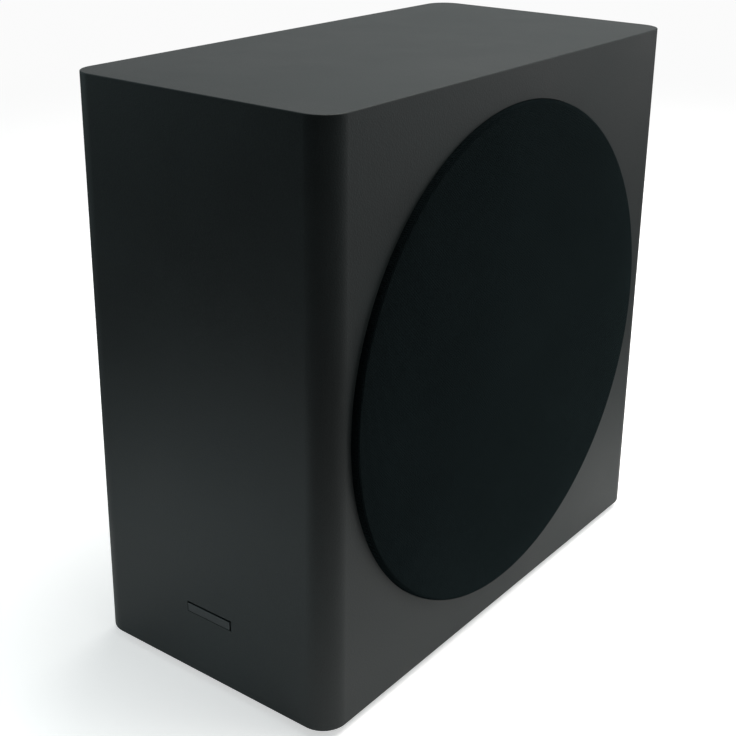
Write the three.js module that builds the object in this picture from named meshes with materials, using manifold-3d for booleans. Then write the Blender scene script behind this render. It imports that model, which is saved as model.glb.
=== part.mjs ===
// Wireless subwoofer of a soundbar system: a tall narrow foil-wrapped cabinet with a side-firing
// woofer behind a round fabric grille, a reflex port and an amplifier plate at the rear.
// Millimetres. +Z is up, the narrow front faces -Y and the grille faces +X. The origin is on the
// ground, under the middle of the whole object.

import * as THREE from 'three';
import Module from 'manifold-3d';
import { mergeVertices } from 'three/addons/utils/BufferGeometryUtils.js';

// Driving dimensions of the cabinet.
const width = 210; // over the grille
const depth = 403;
const height = 403; // over the feet
const cornerRadius = 18;
const foil = 0.8;
const sideBoard = 18;
const endBoard = 15;
const gap = 0.3; // between pieces that touch
const shadowGap = 1; // round trims that are let into the foil

// Battens from side to side, and the wadding on the plain side.
const batten = {
  thickness: 15, height: 40, places: { front: { y: -150, z: 184 }, rear: { y: 130, z: 215 } },
};
const felt = { thickness: 12, frontY: -120, rearY: 115, bottom: 40, top: 370 };

// Feet.
const footHeight = 6;
const footRadius = 15;
const footInset = { x: 32, y: 38 };

// Grille.
const grilleRadius = 175;
const grilleProud = 4.5;
const grilleCentreY = -4;
const grilleCentreZ = 204;
const grilleRebate = 6;
const fabricThickness = 0.5;
const fabricEdgeRadius = 1.5;
const frameRimWidth = 13;
const ribPitch = 36;
const grilleSides = 64;
const smallHoleSides = 8;
const ribWidth = 3;
const ribDepth = 2.5;
const peg = { count: 6, circleRadius: 167.5, radius: 3, length: 8 };

// Woofer. Places along its axis are measured from the cabinet's middle plane, forwards to +X.
const flange = { radius: 104, innerRadius: 88, back: 87.5, thickness: 2 };
const driverScrew = {
  count: 6, circleRadius: 99.8, radius: 2, headRadius: 3.8, headHeight: 2.3, length: 10.5,
};
const gasketThickness = 2.8;
const roll = { innerRadius: 73.4, outerRadius: 88.6, height: 5, thickness: 0.7 };
const coneRadius = 73;
const coneThickness = 1;
const domeRadius = 33;
const domeHeight = 9.5;
const former = { innerRadius: 18.6, outerRadius: 19, back: 4, front: 60 };
const winding = { outerRadius: 20.3, length: 16 };
const spiderWaves = 4;
const spiderWaveHeight = 2;
const spiderThickness = 0.8;
const topPlate = { innerRadius: 21, radius: 50, back: 13.7, front: 19.7 };
const magnet = { innerRadius: 28, radius: 54, back: -4.6, front: 13.4 };
const yoke = { boreRadius: 5, poleRadius: 18, radius: 50, back: -11, plateFront: -4.9 };
const basketWindows = 6;

// Reflex port.
const portCentreZ = 325;
const portRadius = 30;
const portWall = 3;
const portFlangeRadius = 45;
const portMouthRadius = 42;
const portTubeEnd = 60;

// Amplifier plate. Places on it are offsets from its middle, x across and z up.
const plate = { width: 120, height: 160, centreZ: 125, thickness: 1.6, corner: 5, outerY: 199.6 };
const plateLand = 8;
const inlet = { x: -34, z: -50, flangeWidth: 27, flangeHeight: 19, width: 22, height: 16, backY: 178 };
const inletSocket = { width: 17, height: 9.4, floorY: 187, pinRadius: 1.2, pinSpacing: 8.6, pinTipY: 197 };
const button = { x: 31, z: 38, radius: 3, travel: 0.8, flangeRadius: 5 };
const lens = { z: 58, radius: 1.6, places: { link: 24, standby: 38 } };
const label = { x: 10, z: -50, width: 50, height: 24, thickness: 0.3 };
const plateScrew = { radius: 1.6, headRadius: 3.2, headHeight: 1.5, length: 13, edge: 4 };
const board = { width: 96, height: 132, thickness: 1.6, outerY: 165 };
const pillar = { x: 44, z: 62, radius: 3 };

// Badge, let into a pocket in the front. The pocket is open by a shadow line above the badge and right of it.
const badge = { x: -0.8, z: 54.2, width: 37.6, height: 6.2, thickness: 1.6, recess: 0.1 };
const badgeShadow = { top: 1.5, right: 1.6 };

// Planes of the cabinet.
const leftX = -width / 2;
const rightX = width / 2 - grilleProud;
const middleX = (leftX + rightX) / 2;
const frontY = -depth / 2;
const rearY = depth / 2;
const coreInset = foil + gap;
const boardsBottom = footHeight + coreInset;
const boardsTop = height - coreInset;
const leftInnerX = leftX + coreInset + sideBoard;
const rightInnerX = rightX - coreInset - sideBoard;
const frontInnerY = frontY + coreInset + endBoard;
const rearInnerY = rearY - coreInset - endBoard;
const grilleSeatX = rightX - coreInset - grilleRebate;
const flangeFront = flange.back + flange.thickness;
const flangeSeatX = flange.back - gap;
const gasketFront = flangeFront + gap + gasketThickness;
const driverScrewTip = gasketFront + gap - driverScrew.length;

const wasm = await Module();
wasm.setup();

// A closed three.js geometry as a solid that can be joined and cut.
function toSolid(geometry) {
  const bare = geometry.clone();
  bare.deleteAttribute('normal');
  bare.deleteAttribute('uv');
  const merged = mergeVertices(bare, 1e-4);
  return new wasm.Manifold(new wasm.Mesh({
    numProp: 3,
    vertProperties: new Float32Array(merged.attributes.position.array),
    triVerts: new Uint32Array(merged.index.array),
  }));
}

function toGeometry(solid) {
  const mesh = solid.getMesh();
  const geometry = new THREE.BufferGeometry();
  geometry.setAttribute('position', new THREE.BufferAttribute(new Float32Array(mesh.vertProperties), 3));
  geometry.setIndex(new THREE.BufferAttribute(new Uint32Array(mesh.triVerts), 1));
  geometry.computeVertexNormals();
  return geometry;
}

function cut(geometry, cutters) {
  return toGeometry(cutters.reduce((solid, cutter) => solid.subtract(toSolid(cutter)), toSolid(geometry)));
}

function join(geometries) {
  const [first, ...others] = geometries.map(toSolid);
  return toGeometry(others.reduce((solid, other) => solid.add(other), first));
}

function keepInside(geometry, bounds) {
  return toGeometry(toSolid(geometry).intersect(toSolid(bounds)));
}

// A box given by its lowest and highest corner.
function block(low, high) {
  const size = high.map((value, axis) => value - low[axis]);
  const centre = high.map((value, axis) => (value + low[axis]) / 2);
  return new THREE.BoxGeometry(...size).translate(...centre);
}

const alongAxis = {
  x: (geometry) => geometry.rotateZ(-Math.PI / 2),
  y: (geometry) => geometry,
  z: (geometry) => geometry.rotateX(Math.PI / 2),
};

// A round bar along one axis, from one place on it to another; centre gives the other two.
function bar(axis, from, to, radius, centre, sides = 16) {
  const geometry = new THREE.CylinderGeometry(radius, radius, to - from, sides);
  geometry.translate(0, (from + to) / 2, 0);
  return alongAxis[axis](geometry).translate(...centre);
}

// A solid turned round Y from a closed outline of [radius, place] points.
function turned(outline, sides = 32) {
  const points = outline.map(([radius, place]) => new THREE.Vector2(radius, place));
  if (THREE.ShapeUtils.area(points) < 0) points.reverse();
  points.push(points[0].clone());
  return new THREE.LatheGeometry(points, sides);
}

// A solid turned round Y whose outline starts and ends on the axis.
function turnedOnAxis(outline, sides = 16) {
  const points = outline.map(([radius, place]) => new THREE.Vector2(radius, place));
  if (THREE.ShapeUtils.area(points) < 0) points.reverse();
  return new THREE.LatheGeometry(points, sides);
}

function rectangleRing(innerRadius, radius, back, front) {
  return [[innerRadius, back], [radius, back], [radius, front], [innerRadius, front]];
}

function roundedRectangle(left, right, low, high, radius) {
  const quarter = Math.PI / 2;
  const shape = new THREE.Shape();
  shape.absarc(right - radius, low + radius, radius, -quarter, 0);
  shape.absarc(right - radius, high - radius, radius, 0, quarter);
  shape.absarc(left + radius, high - radius, radius, quarter, 2 * quarter);
  shape.absarc(left + radius, low + radius, radius, 2 * quarter, 3 * quarter);
  return shape;
}

// The cabinet's plan, drawn in by some millimetres.
function plan(inset) {
  return roundedRectangle(leftX + inset, rightX - inset, frontY + inset, rearY - inset, cornerRadius - inset);
}

function upright(shape, low, high) {
  const options = { depth: high - low, bevelEnabled: false, curveSegments: 5 };
  return new THREE.ExtrudeGeometry(shape, options).translate(0, 0, low);
}

// A plate that lies across Y, its outer face at outerY and its middle at x, z.
function rearPlate(x, z, plateWidth, plateHeight, corner, outerY, thickness) {
  const halfWidth = plateWidth / 2;
  const halfHeight = plateHeight / 2;
  const shape = roundedRectangle(-halfWidth, halfWidth, -halfHeight, halfHeight, corner);
  const options = { depth: thickness, bevelEnabled: false, curveSegments: 3 };
  return new THREE.ExtrudeGeometry(shape, options).rotateX(Math.PI / 2).translate(x, outerY, z);
}

function onCircle(count, radius, startAngle = 0) {
  return Array.from({ length: count }, (_, index) => {
    const angle = startAngle + (index * 2 * Math.PI) / count;
    return [radius * Math.cos(angle), radius * Math.sin(angle)];
  });
}

const finishes = {
  foil: { color: 0x33373a, roughness: 0.5, metalness: 0 },
  fibreboard: { color: 0x8a6a48, roughness: 0.9, metalness: 0 },
  fabric: { color: 0x14181a, roughness: 0.95, metalness: 0 },
  blackPlastic: { color: 0x1b1d1f, roughness: 0.5, metalness: 0 },
  badge: { color: 0x3a3d40, roughness: 0.35, metalness: 0.6 },
  rubber: { color: 0x151515, roughness: 0.9, metalness: 0 },
  basketSteel: { color: 0x1d1e20, roughness: 0.45, metalness: 0.3 },
  plainSteel: { color: 0x9a9da0, roughness: 0.35, metalness: 0.9 },
  blackScrew: { color: 0x202224, roughness: 0.35, metalness: 0.8 },
  ferrite: { color: 0x2a2a2c, roughness: 0.7, metalness: 0.1 },
  paper: { color: 0x202122, roughness: 0.85, metalness: 0 },
  spiderCloth: { color: 0xa8863e, roughness: 0.9, metalness: 0 },
  formerPaper: { color: 0xb79a63, roughness: 0.7, metalness: 0 },
  copper: { color: 0xb06a3c, roughness: 0.3, metalness: 0.9 },
  plateMetal: { color: 0x1e2022, roughness: 0.5, metalness: 0.4 },
  brassPin: { color: 0xc0c2c4, roughness: 0.25, metalness: 1 },
  lens: { color: 0xd8dde0, roughness: 0.2, metalness: 0 },
  labelFilm: { color: 0x2a2c2e, roughness: 0.4, metalness: 0 },
  circuit: { color: 0x1d5a38, roughness: 0.5, metalness: 0 },
  aluminium: { color: 0xb4b7ba, roughness: 0.35, metalness: 0.9 },
  transformerIron: { color: 0x4d4f55, roughness: 0.6, metalness: 0.4 },
  felt: { color: 0xb9b6ae, roughness: 1, metalness: 0 },
};

function addPiece(parent, name, geometry, finish) {
  const mesh = new THREE.Mesh(geometry, new THREE.MeshStandardMaterial(finishes[finish]));
  mesh.name = name;
  parent.add(mesh);
  return mesh;
}

// Openings that more than one piece shares.
const plateOpening = (clearance, outerY, thickness) => rearPlate(
  middleX, plate.centreZ, plate.width + 2 * clearance, plate.height + 2 * clearance,
  Math.max(plate.corner + clearance, 1), outerY, thickness);

const badgeBlock = (around, top, right, y0, y1) => block(
  [badge.x - badge.width / 2 - around, y0, badge.z - badge.height / 2 - around],
  [badge.x + badge.width / 2 + right, y1, badge.z + badge.height / 2 + top]);

const badgePocket = (y0, y1) => badgeBlock(gap, badgeShadow.top, badgeShadow.right, y0, y1);

const grilleOpening = (from, to) => bar(
  'x', from, to, grilleRadius + shadowGap, [0, grilleCentreY, grilleCentreZ], grilleSides);

const plateScrewPlaces = [-1, 1].flatMap((side) => [-1, 0, 1].map((level) => [
  middleX + side * (plate.width / 2 - plateScrew.edge),
  plate.centreZ + level * (plate.height / 2 - plateScrew.edge),
]));

const driverScrewPlaces = onCircle(driverScrew.count, driverScrew.circleRadius, Math.PI / 6);
const pegPlaces = onCircle(peg.count, peg.circleRadius, Math.PI / 6);

function makeCabinet() {
  const cabinet = new THREE.Group();
  const past = 1; // how far a cutter runs past the face that it opens

  const wrapShape = plan(0);
  wrapShape.holes.push(plan(foil));
  const wrap = cut(upright(wrapShape, boardsBottom, boardsTop), [
    grilleOpening(rightX - 2 * foil, rightX + past),
    bar('y', rearY - 2 * foil, rearY + past, portFlangeRadius + shadowGap, [middleX, 0, portCentreZ], 48),
    plateOpening(shadowGap, rearY + past, past + 2 * foil),
    badgePocket(frontY - past, frontY + 2 * foil),
  ]);
  addPiece(cabinet, 'cabinet_wrap', wrap, 'foil');
  addPiece(cabinet, 'top_sheet', upright(plan(0), height - foil, height), 'foil');
  addPiece(cabinet, 'base_sheet', upright(plan(0), footHeight, footHeight + foil), 'foil');

  const core = upright(plan(coreInset), boardsBottom, boardsTop);
  const leftHalf = block([leftX, frontY, 0], [leftInnerX, rearY, height]);
  addPiece(cabinet, 'plain_side_board', keepInside(core, leftHalf), 'fibreboard');

  const rightHalf = block([rightInnerX, frontY, 0], [rightX, rearY, height]);
  const basketHole = flange.innerRadius + 4.5;
  const baffle = cut(keepInside(core, rightHalf), [
    grilleOpening(grilleSeatX, rightX),
    bar('x', flangeSeatX, grilleSeatX + past, flange.radius + 1, [0, grilleCentreY, grilleCentreZ], 48),
    bar('x', rightInnerX - past, flangeSeatX + past, basketHole, [0, grilleCentreY, grilleCentreZ], 48),
    ...driverScrewPlaces.map(([y, z]) => bar('x', driverScrewTip - gap, flangeSeatX + past,
      driverScrew.radius + gap, [0, grilleCentreY + y, grilleCentreZ + z], smallHoleSides)),
    ...pegPlaces.map(([y, z]) => bar('x', grilleSeatX - peg.length - 1, grilleSeatX + past,
      peg.radius + gap, [0, grilleCentreY + y, grilleCentreZ + z], smallHoleSides)),
  ]);
  addPiece(cabinet, 'driver_baffle', baffle, 'fibreboard');

  const x0 = leftInnerX + gap;
  const x1 = rightInnerX - gap;
  const badgeBack = frontY + badge.recess + badge.thickness;
  const frontBoard = cut(block([x0, frontY + coreInset, boardsBottom], [x1, frontInnerY, boardsTop]), [
    badgePocket(frontY, badgeBack + gap),
  ]);
  addPiece(cabinet, 'front_board', frontBoard, 'fibreboard');
  addPiece(cabinet, 'front_badge', badgeBlock(0, 0, 0, badgeBack - badge.thickness, badgeBack), 'badge');

  const rearFace = rearY - coreInset;
  const plateSeatY = plate.outerY - plate.thickness - gap;
  const portSeatY = rearFace - 1.7;
  const rearBoard = cut(block([x0, rearInnerY, boardsBottom], [x1, rearFace, boardsTop]), [
    plateOpening(shadowGap / 2, rearFace + past, rearFace + past - plateSeatY),
    plateOpening(-plateLand, rearFace, endBoard + past),
    bar('y', portSeatY, rearFace + past, portFlangeRadius + shadowGap / 2, [middleX, 0, portCentreZ], 48),
    bar('y', rearInnerY - past, rearFace, portMouthRadius, [middleX, 0, portCentreZ], 48),
    ...plateScrewPlaces.map(([x, z]) => bar('y', plateSeatY - plateScrew.length + 2, plateSeatY + past,
      plateScrew.radius + gap, [x, 0, z], smallHoleSides)),
  ]);
  addPiece(cabinet, 'rear_board', rearBoard, 'fibreboard');

  const y0 = frontInnerY + gap;
  const y1 = rearInnerY - gap;
  const topBoard = block([x0, y0, boardsTop - endBoard], [x1, y1, boardsTop]);
  const bottomBoard = block([x0, y0, boardsBottom], [x1, y1, boardsBottom + endBoard]);
  addPiece(cabinet, 'top_board', topBoard, 'fibreboard');
  addPiece(cabinet, 'bottom_board', bottomBoard, 'fibreboard');

  for (const [end, place] of Object.entries(batten.places)) {
    const low = [x0, place.y, place.z];
    const high = [x1, place.y + batten.thickness, place.z + batten.height];
    addPiece(cabinet, `cross_batten_${end}`, block(low, high), 'fibreboard');
  }

  const feltPad = block([x0, felt.frontY, felt.bottom], [x0 + felt.thickness, felt.rearY, felt.top]);
  addPiece(cabinet, 'damping_felt', feltPad, 'felt');
  return cabinet;
}

function makeFeet() {
  const feet = new THREE.Group();
  const top = footHeight - gap;
  const outline = [[0, 0], [footRadius - 1.5, 0], [footRadius, 1.5], [footRadius, top], [0, top]];
  for (const [frontOrRear, ySide] of [['front', -1], ['rear', 1]]) {
    for (const [leftOrRight, xSide] of [['left', -1], ['right', 1]]) {
      const foot = addPiece(feet, `foot_${frontOrRear}_${leftOrRight}`, turnedOnAxis(outline), 'rubber');
      foot.rotation.x = Math.PI / 2;
      const half = (rightX - leftX) / 2;
      foot.position.set(middleX + xSide * (half - footInset.x), ySide * (rearY - footInset.y), 0);
    }
  }
  return feet;
}

// The grille's local Y is the cabinet's +X, as on the woofer below.
function makeGrille() {
  const grille = new THREE.Group();
  const face = width / 2;
  const back = grilleSeatX + gap;
  const inner = grilleRadius - fabricThickness;
  const roundedEdge = (radius, front, size) => [0, 1, 2].map((step) => {
    const angle = (step / 2) * (Math.PI / 2);
    return [radius - size + size * Math.sin(angle), front - size + size * Math.cos(angle)];
  });
  const insideFace = face - fabricThickness;
  const outside = [[0, face], ...roundedEdge(grilleRadius, face, fabricEdgeRadius), [grilleRadius, back]];
  const inside = [
    [0, insideFace], ...roundedEdge(inner, insideFace, fabricEdgeRadius - fabricThickness), [inner, back],
  ];
  addPiece(grille, 'grille_fabric', turnedOnAxis([...outside, ...inside.reverse()], grilleSides), 'fabric');

  const frameRadius = inner - gap;
  const frameFront = insideFace - gap;
  const rimInner = frameRadius - frameRimWidth;
  const chamfer = 1.2;
  const rim = turned([
    [rimInner, back], [frameRadius, back], [frameRadius, frameFront - chamfer],
    [frameRadius - chamfer, frameFront], [rimInner, frameFront],
  ], grilleSides);
  const ribs = [];
  const ribCount = Math.floor(rimInner / ribPitch);
  for (let index = -ribCount; index <= ribCount; index += 1) {
    const offset = index * ribPitch;
    const reach = Math.sqrt(rimInner ** 2 - offset ** 2) + 2;
    const y0 = frameFront - ribDepth;
    ribs.push(block([offset - ribWidth / 2, y0, -reach], [offset + ribWidth / 2, frameFront, reach]));
  }
  const crossReach = rimInner + 2;
  const crossBack = frameFront - ribDepth;
  ribs.push(block([-crossReach, crossBack, -ribWidth / 2], [crossReach, frameFront, ribWidth / 2]));
  const pegs = pegPlaces.map(([y, z]) => bar('y', back - peg.length, back + 1, peg.radius, [-y, 0, z],
    smallHoleSides));
  addPiece(grille, 'grille_frame', join([rim, ...ribs, ...pegs]), 'blackPlastic');
  return grille;
}

// The curved section of the half roll, or of one spider wave, between two radii.
function arch(fromRadius, toRadius, base, rise, steps) {
  return Array.from({ length: steps + 1 }, (_, step) => {
    const share = step / steps;
    const radius = fromRadius + (toRadius - fromRadius) * (1 - Math.cos(share * Math.PI)) / 2;
    return [radius, base + rise * Math.sin(share * Math.PI)];
  });
}

function makeWoofer() {
  const woofer = new THREE.Group();
  const wallThickness = 1.8;
  const windowSpan = (46 / 180) * Math.PI;

  const basketProfile = [
    [26, 22], [58, 22], [58, 41], [66.4, 41], [86.2, 86.5], [flange.innerRadius, flangeFront],
    [flange.radius, flangeFront], [flange.radius, flange.back], [89.2, flange.back],
    [86.2 + wallThickness, 85.8], [66.4 + wallThickness, 40.2], [67, 39], [60, 39], [60, 20], [26, 20],
  ];
  const windows = Array.from({ length: basketWindows }, (_, index) => {
    const middle = (index * 2 * Math.PI) / basketWindows;
    const sector = new THREE.Shape();
    const corners = [[62, -0.5], [105, -0.5], [105, 0.5], [62, 0.5]];
    corners.forEach(([radius, share], corner) => {
      const angle = middle + share * windowSpan;
      const point = [radius * Math.cos(angle), radius * Math.sin(angle)];
      if (corner === 0) sector.moveTo(...point);
      else sector.lineTo(...point);
    });
    const options = { depth: 33, bevelEnabled: false };
    return new THREE.ExtrudeGeometry(sector, options).rotateX(-Math.PI / 2).translate(0, 47, 0);
  });
  const flangeHoles = (low, high) => driverScrewPlaces.map(([y, z]) => bar('y', low, high,
    driverScrew.radius + gap, [-y, 0, z], smallHoleSides));
  const basket = cut(turned(basketProfile), [...windows, ...flangeHoles(flange.back - 1, flangeFront + 1)]);
  addPiece(woofer, 'basket', basket, 'basketSteel');

  const seat = flangeFront + gap;
  const gasket = turned(rectangleRing(95.3, flange.radius, seat, gasketFront));
  addPiece(woofer, 'flange_gasket', cut(gasket, flangeHoles(seat - 1, gasketFront + 1)), 'rubber');

  const lip = seat + roll.thickness;
  const rollOver = arch(roll.outerRadius, roll.innerRadius, lip, roll.height, 6);
  const rollUnder = arch(roll.innerRadius + roll.thickness, roll.outerRadius - roll.thickness, seat,
    roll.height, 6);
  const surround = [[95, seat], [95, lip], ...rollOver, [68.5, lip], [68.5, seat], ...rollUnder];
  addPiece(woofer, 'surround', turned(surround), 'rubber');

  const coneFront = [[19.4, 57.5], [30, 63.8], [45, 72], [60, 81], [68, 86.5], [coneRadius, 89.5]];
  const coneBack = coneFront.map(([radius, place]) => [radius, place - coneThickness]).reverse();
  addPiece(woofer, 'cone', turned([...coneFront, ...coneBack]), 'paper');

  const domeBase = 66;
  const dome = (thickness) => [0, 1, 2, 3, 4].map((step) => {
    const radius = ((domeRadius - thickness) * step) / 4;
    const rise = (domeHeight - thickness) * (1 - (step / 4) ** 2);
    return [radius, domeBase + rise];
  });
  addPiece(woofer, 'dust_cap', turnedOnAxis([...dome(0), ...dome(coneThickness).reverse()], 30), 'paper');

  const { innerRadius, outerRadius, back, front } = former;
  addPiece(woofer, 'coil_former', turned(rectangleRing(innerRadius, outerRadius, back, front), 30),
    'formerPaper');
  const coilMiddle = (topPlate.back + topPlate.front) / 2;
  const coil = rectangleRing(outerRadius + gap, winding.outerRadius, coilMiddle - winding.length / 2,
    coilMiddle + winding.length / 2);
  addPiece(woofer, 'coil_winding', turned(coil, 30), 'copper');

  const spiderSeat = 41 + gap;
  const spiderInner = outerRadius + 0.4;
  const spiderOuter = 58;
  const wavePitch = (spiderOuter - spiderInner) / spiderWaves;
  const spiderTop = [];
  for (let index = spiderWaves; index > 0; index -= 1) {
    const outer = spiderInner + index * wavePitch;
    const wave = arch(outer, outer - wavePitch, spiderSeat + spiderThickness, spiderWaveHeight, 2);
    spiderTop.push(...wave.slice(1));
  }
  const spiderBack = spiderTop.map(([radius, place]) => [radius, place - spiderThickness]).reverse();
  const spiderRim = [[65.5, spiderSeat], [65.5, spiderSeat + spiderThickness]];
  addPiece(woofer, 'spider', turned([...spiderRim, ...spiderTop, ...spiderBack], 30), 'spiderCloth');

  const plateRing = rectangleRing(topPlate.innerRadius, topPlate.radius, topPlate.back, topPlate.front);
  addPiece(woofer, 'top_plate', turned(plateRing), 'plainSteel');
  addPiece(woofer, 'magnet_ring', turned(rectangleRing(magnet.innerRadius, magnet.radius, magnet.back,
    magnet.front)), 'ferrite');
  addPiece(woofer, 'yoke', turned([
    [yoke.boreRadius, yoke.back], [yoke.radius, yoke.back], [yoke.radius, yoke.plateFront],
    [yoke.poleRadius, yoke.plateFront], [yoke.poleRadius, topPlate.front],
    [yoke.boreRadius, topPlate.front],
  ]), 'plainSteel');

  const strip = join([
    block([-11, 26, -65], [11, 36, -60.5]),
    block([-8, 28, -71], [-4, 34, -64]),
    block([4, 28, -71], [8, 34, -64]),
  ]);
  addPiece(woofer, 'terminal_strip', strip, 'brassPin');

  const { radius, headRadius, headHeight } = driverScrew;
  const headBack = gasketFront + gap;
  const screwOutline = [
    [0, driverScrewTip], [radius, driverScrewTip + 2], [radius, headBack], [headRadius, headBack],
    [headRadius, headBack + headHeight * 0.5], [headRadius * 0.6, headBack + headHeight],
    [0, headBack + headHeight],
  ];
  driverScrewPlaces.forEach(([y, z], index) => {
    const screw = addPiece(woofer, `driver_screw_${index + 1}`, turnedOnAxis(screwOutline, 10), 'blackScrew');
    screw.position.set(-y, 0, z);
  });
  return woofer;
}

function makePort() {
  const port = new THREE.Group();
  const mouthY = rearY - 0.1;
  const throatY = 184;
  const collarEnd = 170;
  const flangeBack = rearY - coreInset - 1.7 + gap;
  const flare = [0, 1, 2, 3, 4].map((step) => {
    const angle = (step / 4) * (Math.PI / 2);
    const radius = portMouthRadius - (portMouthRadius - portRadius) * Math.cos(angle);
    return [radius, throatY + (mouthY - throatY) * Math.sin(angle)];
  });
  const outer = portRadius + portWall;
  const flareOutline = [
    ...flare, [portFlangeRadius - 0.8, mouthY], [portFlangeRadius, mouthY - 0.8],
    [portFlangeRadius, flangeBack], [portMouthRadius - 0.8, flangeBack], [38, 196], [outer + 1.5, 190],
    [outer, throatY], [outer, collarEnd], [portRadius, collarEnd],
  ];
  addPiece(port, 'port_flare', turned(flareOutline), 'blackPlastic');
  const tube = rectangleRing(outer + gap, outer + gap + 2.5, portTubeEnd, rearInnerY - 0.7);
  addPiece(port, 'port_tube', turned(tube, 36), 'blackPlastic');
  return port;
}

// Places here are offsets from the middle of the amplifier plate.
function makeAmplifier() {
  const amplifier = new THREE.Group();
  const innerY = plate.outerY - plate.thickness;
  const past = 1;
  const boardBack = board.outerY - board.thickness;

  const inletBody = (clearance) => block(
    [inlet.x - inlet.width / 2 - clearance, inlet.backY, inlet.z - inlet.height / 2 - clearance],
    [inlet.x + inlet.width / 2 + clearance, plate.outerY + gap, inlet.z + inlet.height / 2 + clearance]);
  const pillars = [-1, 1].flatMap((side) => [-1, 1].map((end) => bar('y', board.outerY + gap, innerY + 0.5,
    pillar.radius, [side * pillar.x, 0, end * pillar.z], smallHoleSides)));
  const plateBlank = rearPlate(0, 0, plate.width, plate.height, plate.corner, plate.outerY, plate.thickness);
  const plateHoles = [
    inletBody(gap),
    bar('y', innerY - past, plate.outerY + past, button.radius + gap, [button.x, 0, button.z]),
    ...Object.values(lens.places).map((x) => bar('y', innerY - past, plate.outerY + past,
      lens.radius + gap, [x, 0, lens.z], smallHoleSides)),
    ...plateScrewPlaces.map(([x, z]) => bar('y', innerY - past, plate.outerY + past,
      plateScrew.radius + gap, [x - middleX, 0, z - plate.centreZ], smallHoleSides)),
  ];
  addPiece(amplifier, 'amplifier_plate', cut(join([plateBlank, ...pillars]), plateHoles), 'plateMetal');

  const flangeY = rearY - 0.1;
  const inletFlange = rearPlate(inlet.x, inlet.z, inlet.flangeWidth, inlet.flangeHeight, 3, flangeY,
    flangeY - plate.outerY - gap);
  const socket = rearPlate(inlet.x, inlet.z, inletSocket.width, inletSocket.height,
    inletSocket.height / 2 - 0.01, flangeY + past, flangeY + past - inletSocket.floorY);
  addPiece(amplifier, 'mains_inlet', cut(join([inletFlange, inletBody(0)]), [socket]), 'blackPlastic');
  for (const [side, sign] of [['left', -1], ['right', 1]]) {
    const x = inlet.x + (sign * inletSocket.pinSpacing) / 2;
    const pin = bar('y', inletSocket.floorY + gap, inletSocket.pinTipY, inletSocket.pinRadius,
      [x, 0, inlet.z], 12);
    addPiece(amplifier, `inlet_pin_${side}`, pin, 'brassPin');
  }

  const capFront = plate.outerY + button.travel;
  const stemEnd = board.outerY + 5.2;
  const buttonOutline = [
    [0, stemEnd], [2, stemEnd], [2, innerY - 1.8], [button.flangeRadius, innerY - 1.8],
    [button.flangeRadius, innerY - 0.6], [button.radius, innerY - 0.6], [button.radius, capFront - 0.4],
    [button.radius - 0.4, capFront], [0, capFront],
  ];
  const cap = addPiece(amplifier, 'pairing_button', turnedOnAxis(buttonOutline, 16), 'blackPlastic');
  cap.position.set(button.x, 0, button.z);

  for (const [use, x] of Object.entries(lens.places)) {
    const pipe = bar('y', board.outerY + 3, plate.outerY + 0.4, lens.radius, [x, 0, lens.z], 12);
    addPiece(amplifier, `${use}_lens`, pipe, 'lens');
  }
  const labelSheet = rearPlate(label.x, label.z, label.width, label.height, 1, plate.outerY + gap
    + label.thickness, label.thickness);
  addPiece(amplifier, 'blank_label', labelSheet, 'labelFilm');

  const { radius, headRadius, headHeight, length } = plateScrew;
  const headBack = plate.outerY + gap;
  const screwOutline = [
    [0, headBack - length], [radius, headBack - length + 2], [radius, headBack], [headRadius, headBack],
    [headRadius, headBack + headHeight * 0.4], [headRadius * 0.7, headBack + headHeight],
    [0, headBack + headHeight],
  ];
  plateScrewPlaces.forEach(([x, z], index) => {
    const screw = addPiece(amplifier, `plate_screw_${index + 1}`, turnedOnAxis(screwOutline, 10),
      'blackScrew');
    screw.position.set(x - middleX, 0, z - plate.centreZ);
  });

  const halfWidth = board.width / 2;
  const halfHeight = board.height / 2;
  const circuit = join([
    block([-halfWidth, boardBack, -halfHeight], [halfWidth, board.outerY, halfHeight]),
    block([button.x - 3, board.outerY - 0.5, button.z - 3], [button.x + 3, board.outerY + 4, button.z + 3]),
    block([20, boardBack - 10, -10], [34, boardBack + 0.5, 0]),
  ]);
  addPiece(amplifier, 'amplifier_circuit', circuit, 'circuit');

  const front = boardBack - gap;
  const fins = Array.from({ length: 8 }, (_, index) => block(
    [-46 + index * 7, front - 30, 4], [-46 + index * 7 + 2, front - 4, 52]));
  addPiece(amplifier, 'heat_sink', join([block([-46, front - 5, 4], [5, front, 52]), ...fins]), 'aluminium');
  addPiece(amplifier, 'power_transformer', join([
    block([-46, front - 34, -58], [-8, front, -28]),
    block([-42, front - 30, -62], [-12, front - 4, -24]),
  ]), 'transformerIron');
  addPiece(amplifier, 'filter_capacitor', bar('y', front - 30, front, 11, [10, 0, -42], 24), 'blackPlastic');
  addPiece(amplifier, 'wireless_module', join([
    block([14, front - 2, 18], [44, front, 48]),
    block([18, front - 4.5, 24], [38, front - 1.5, 42]),
  ]), 'circuit');
  return amplifier;
}

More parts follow.
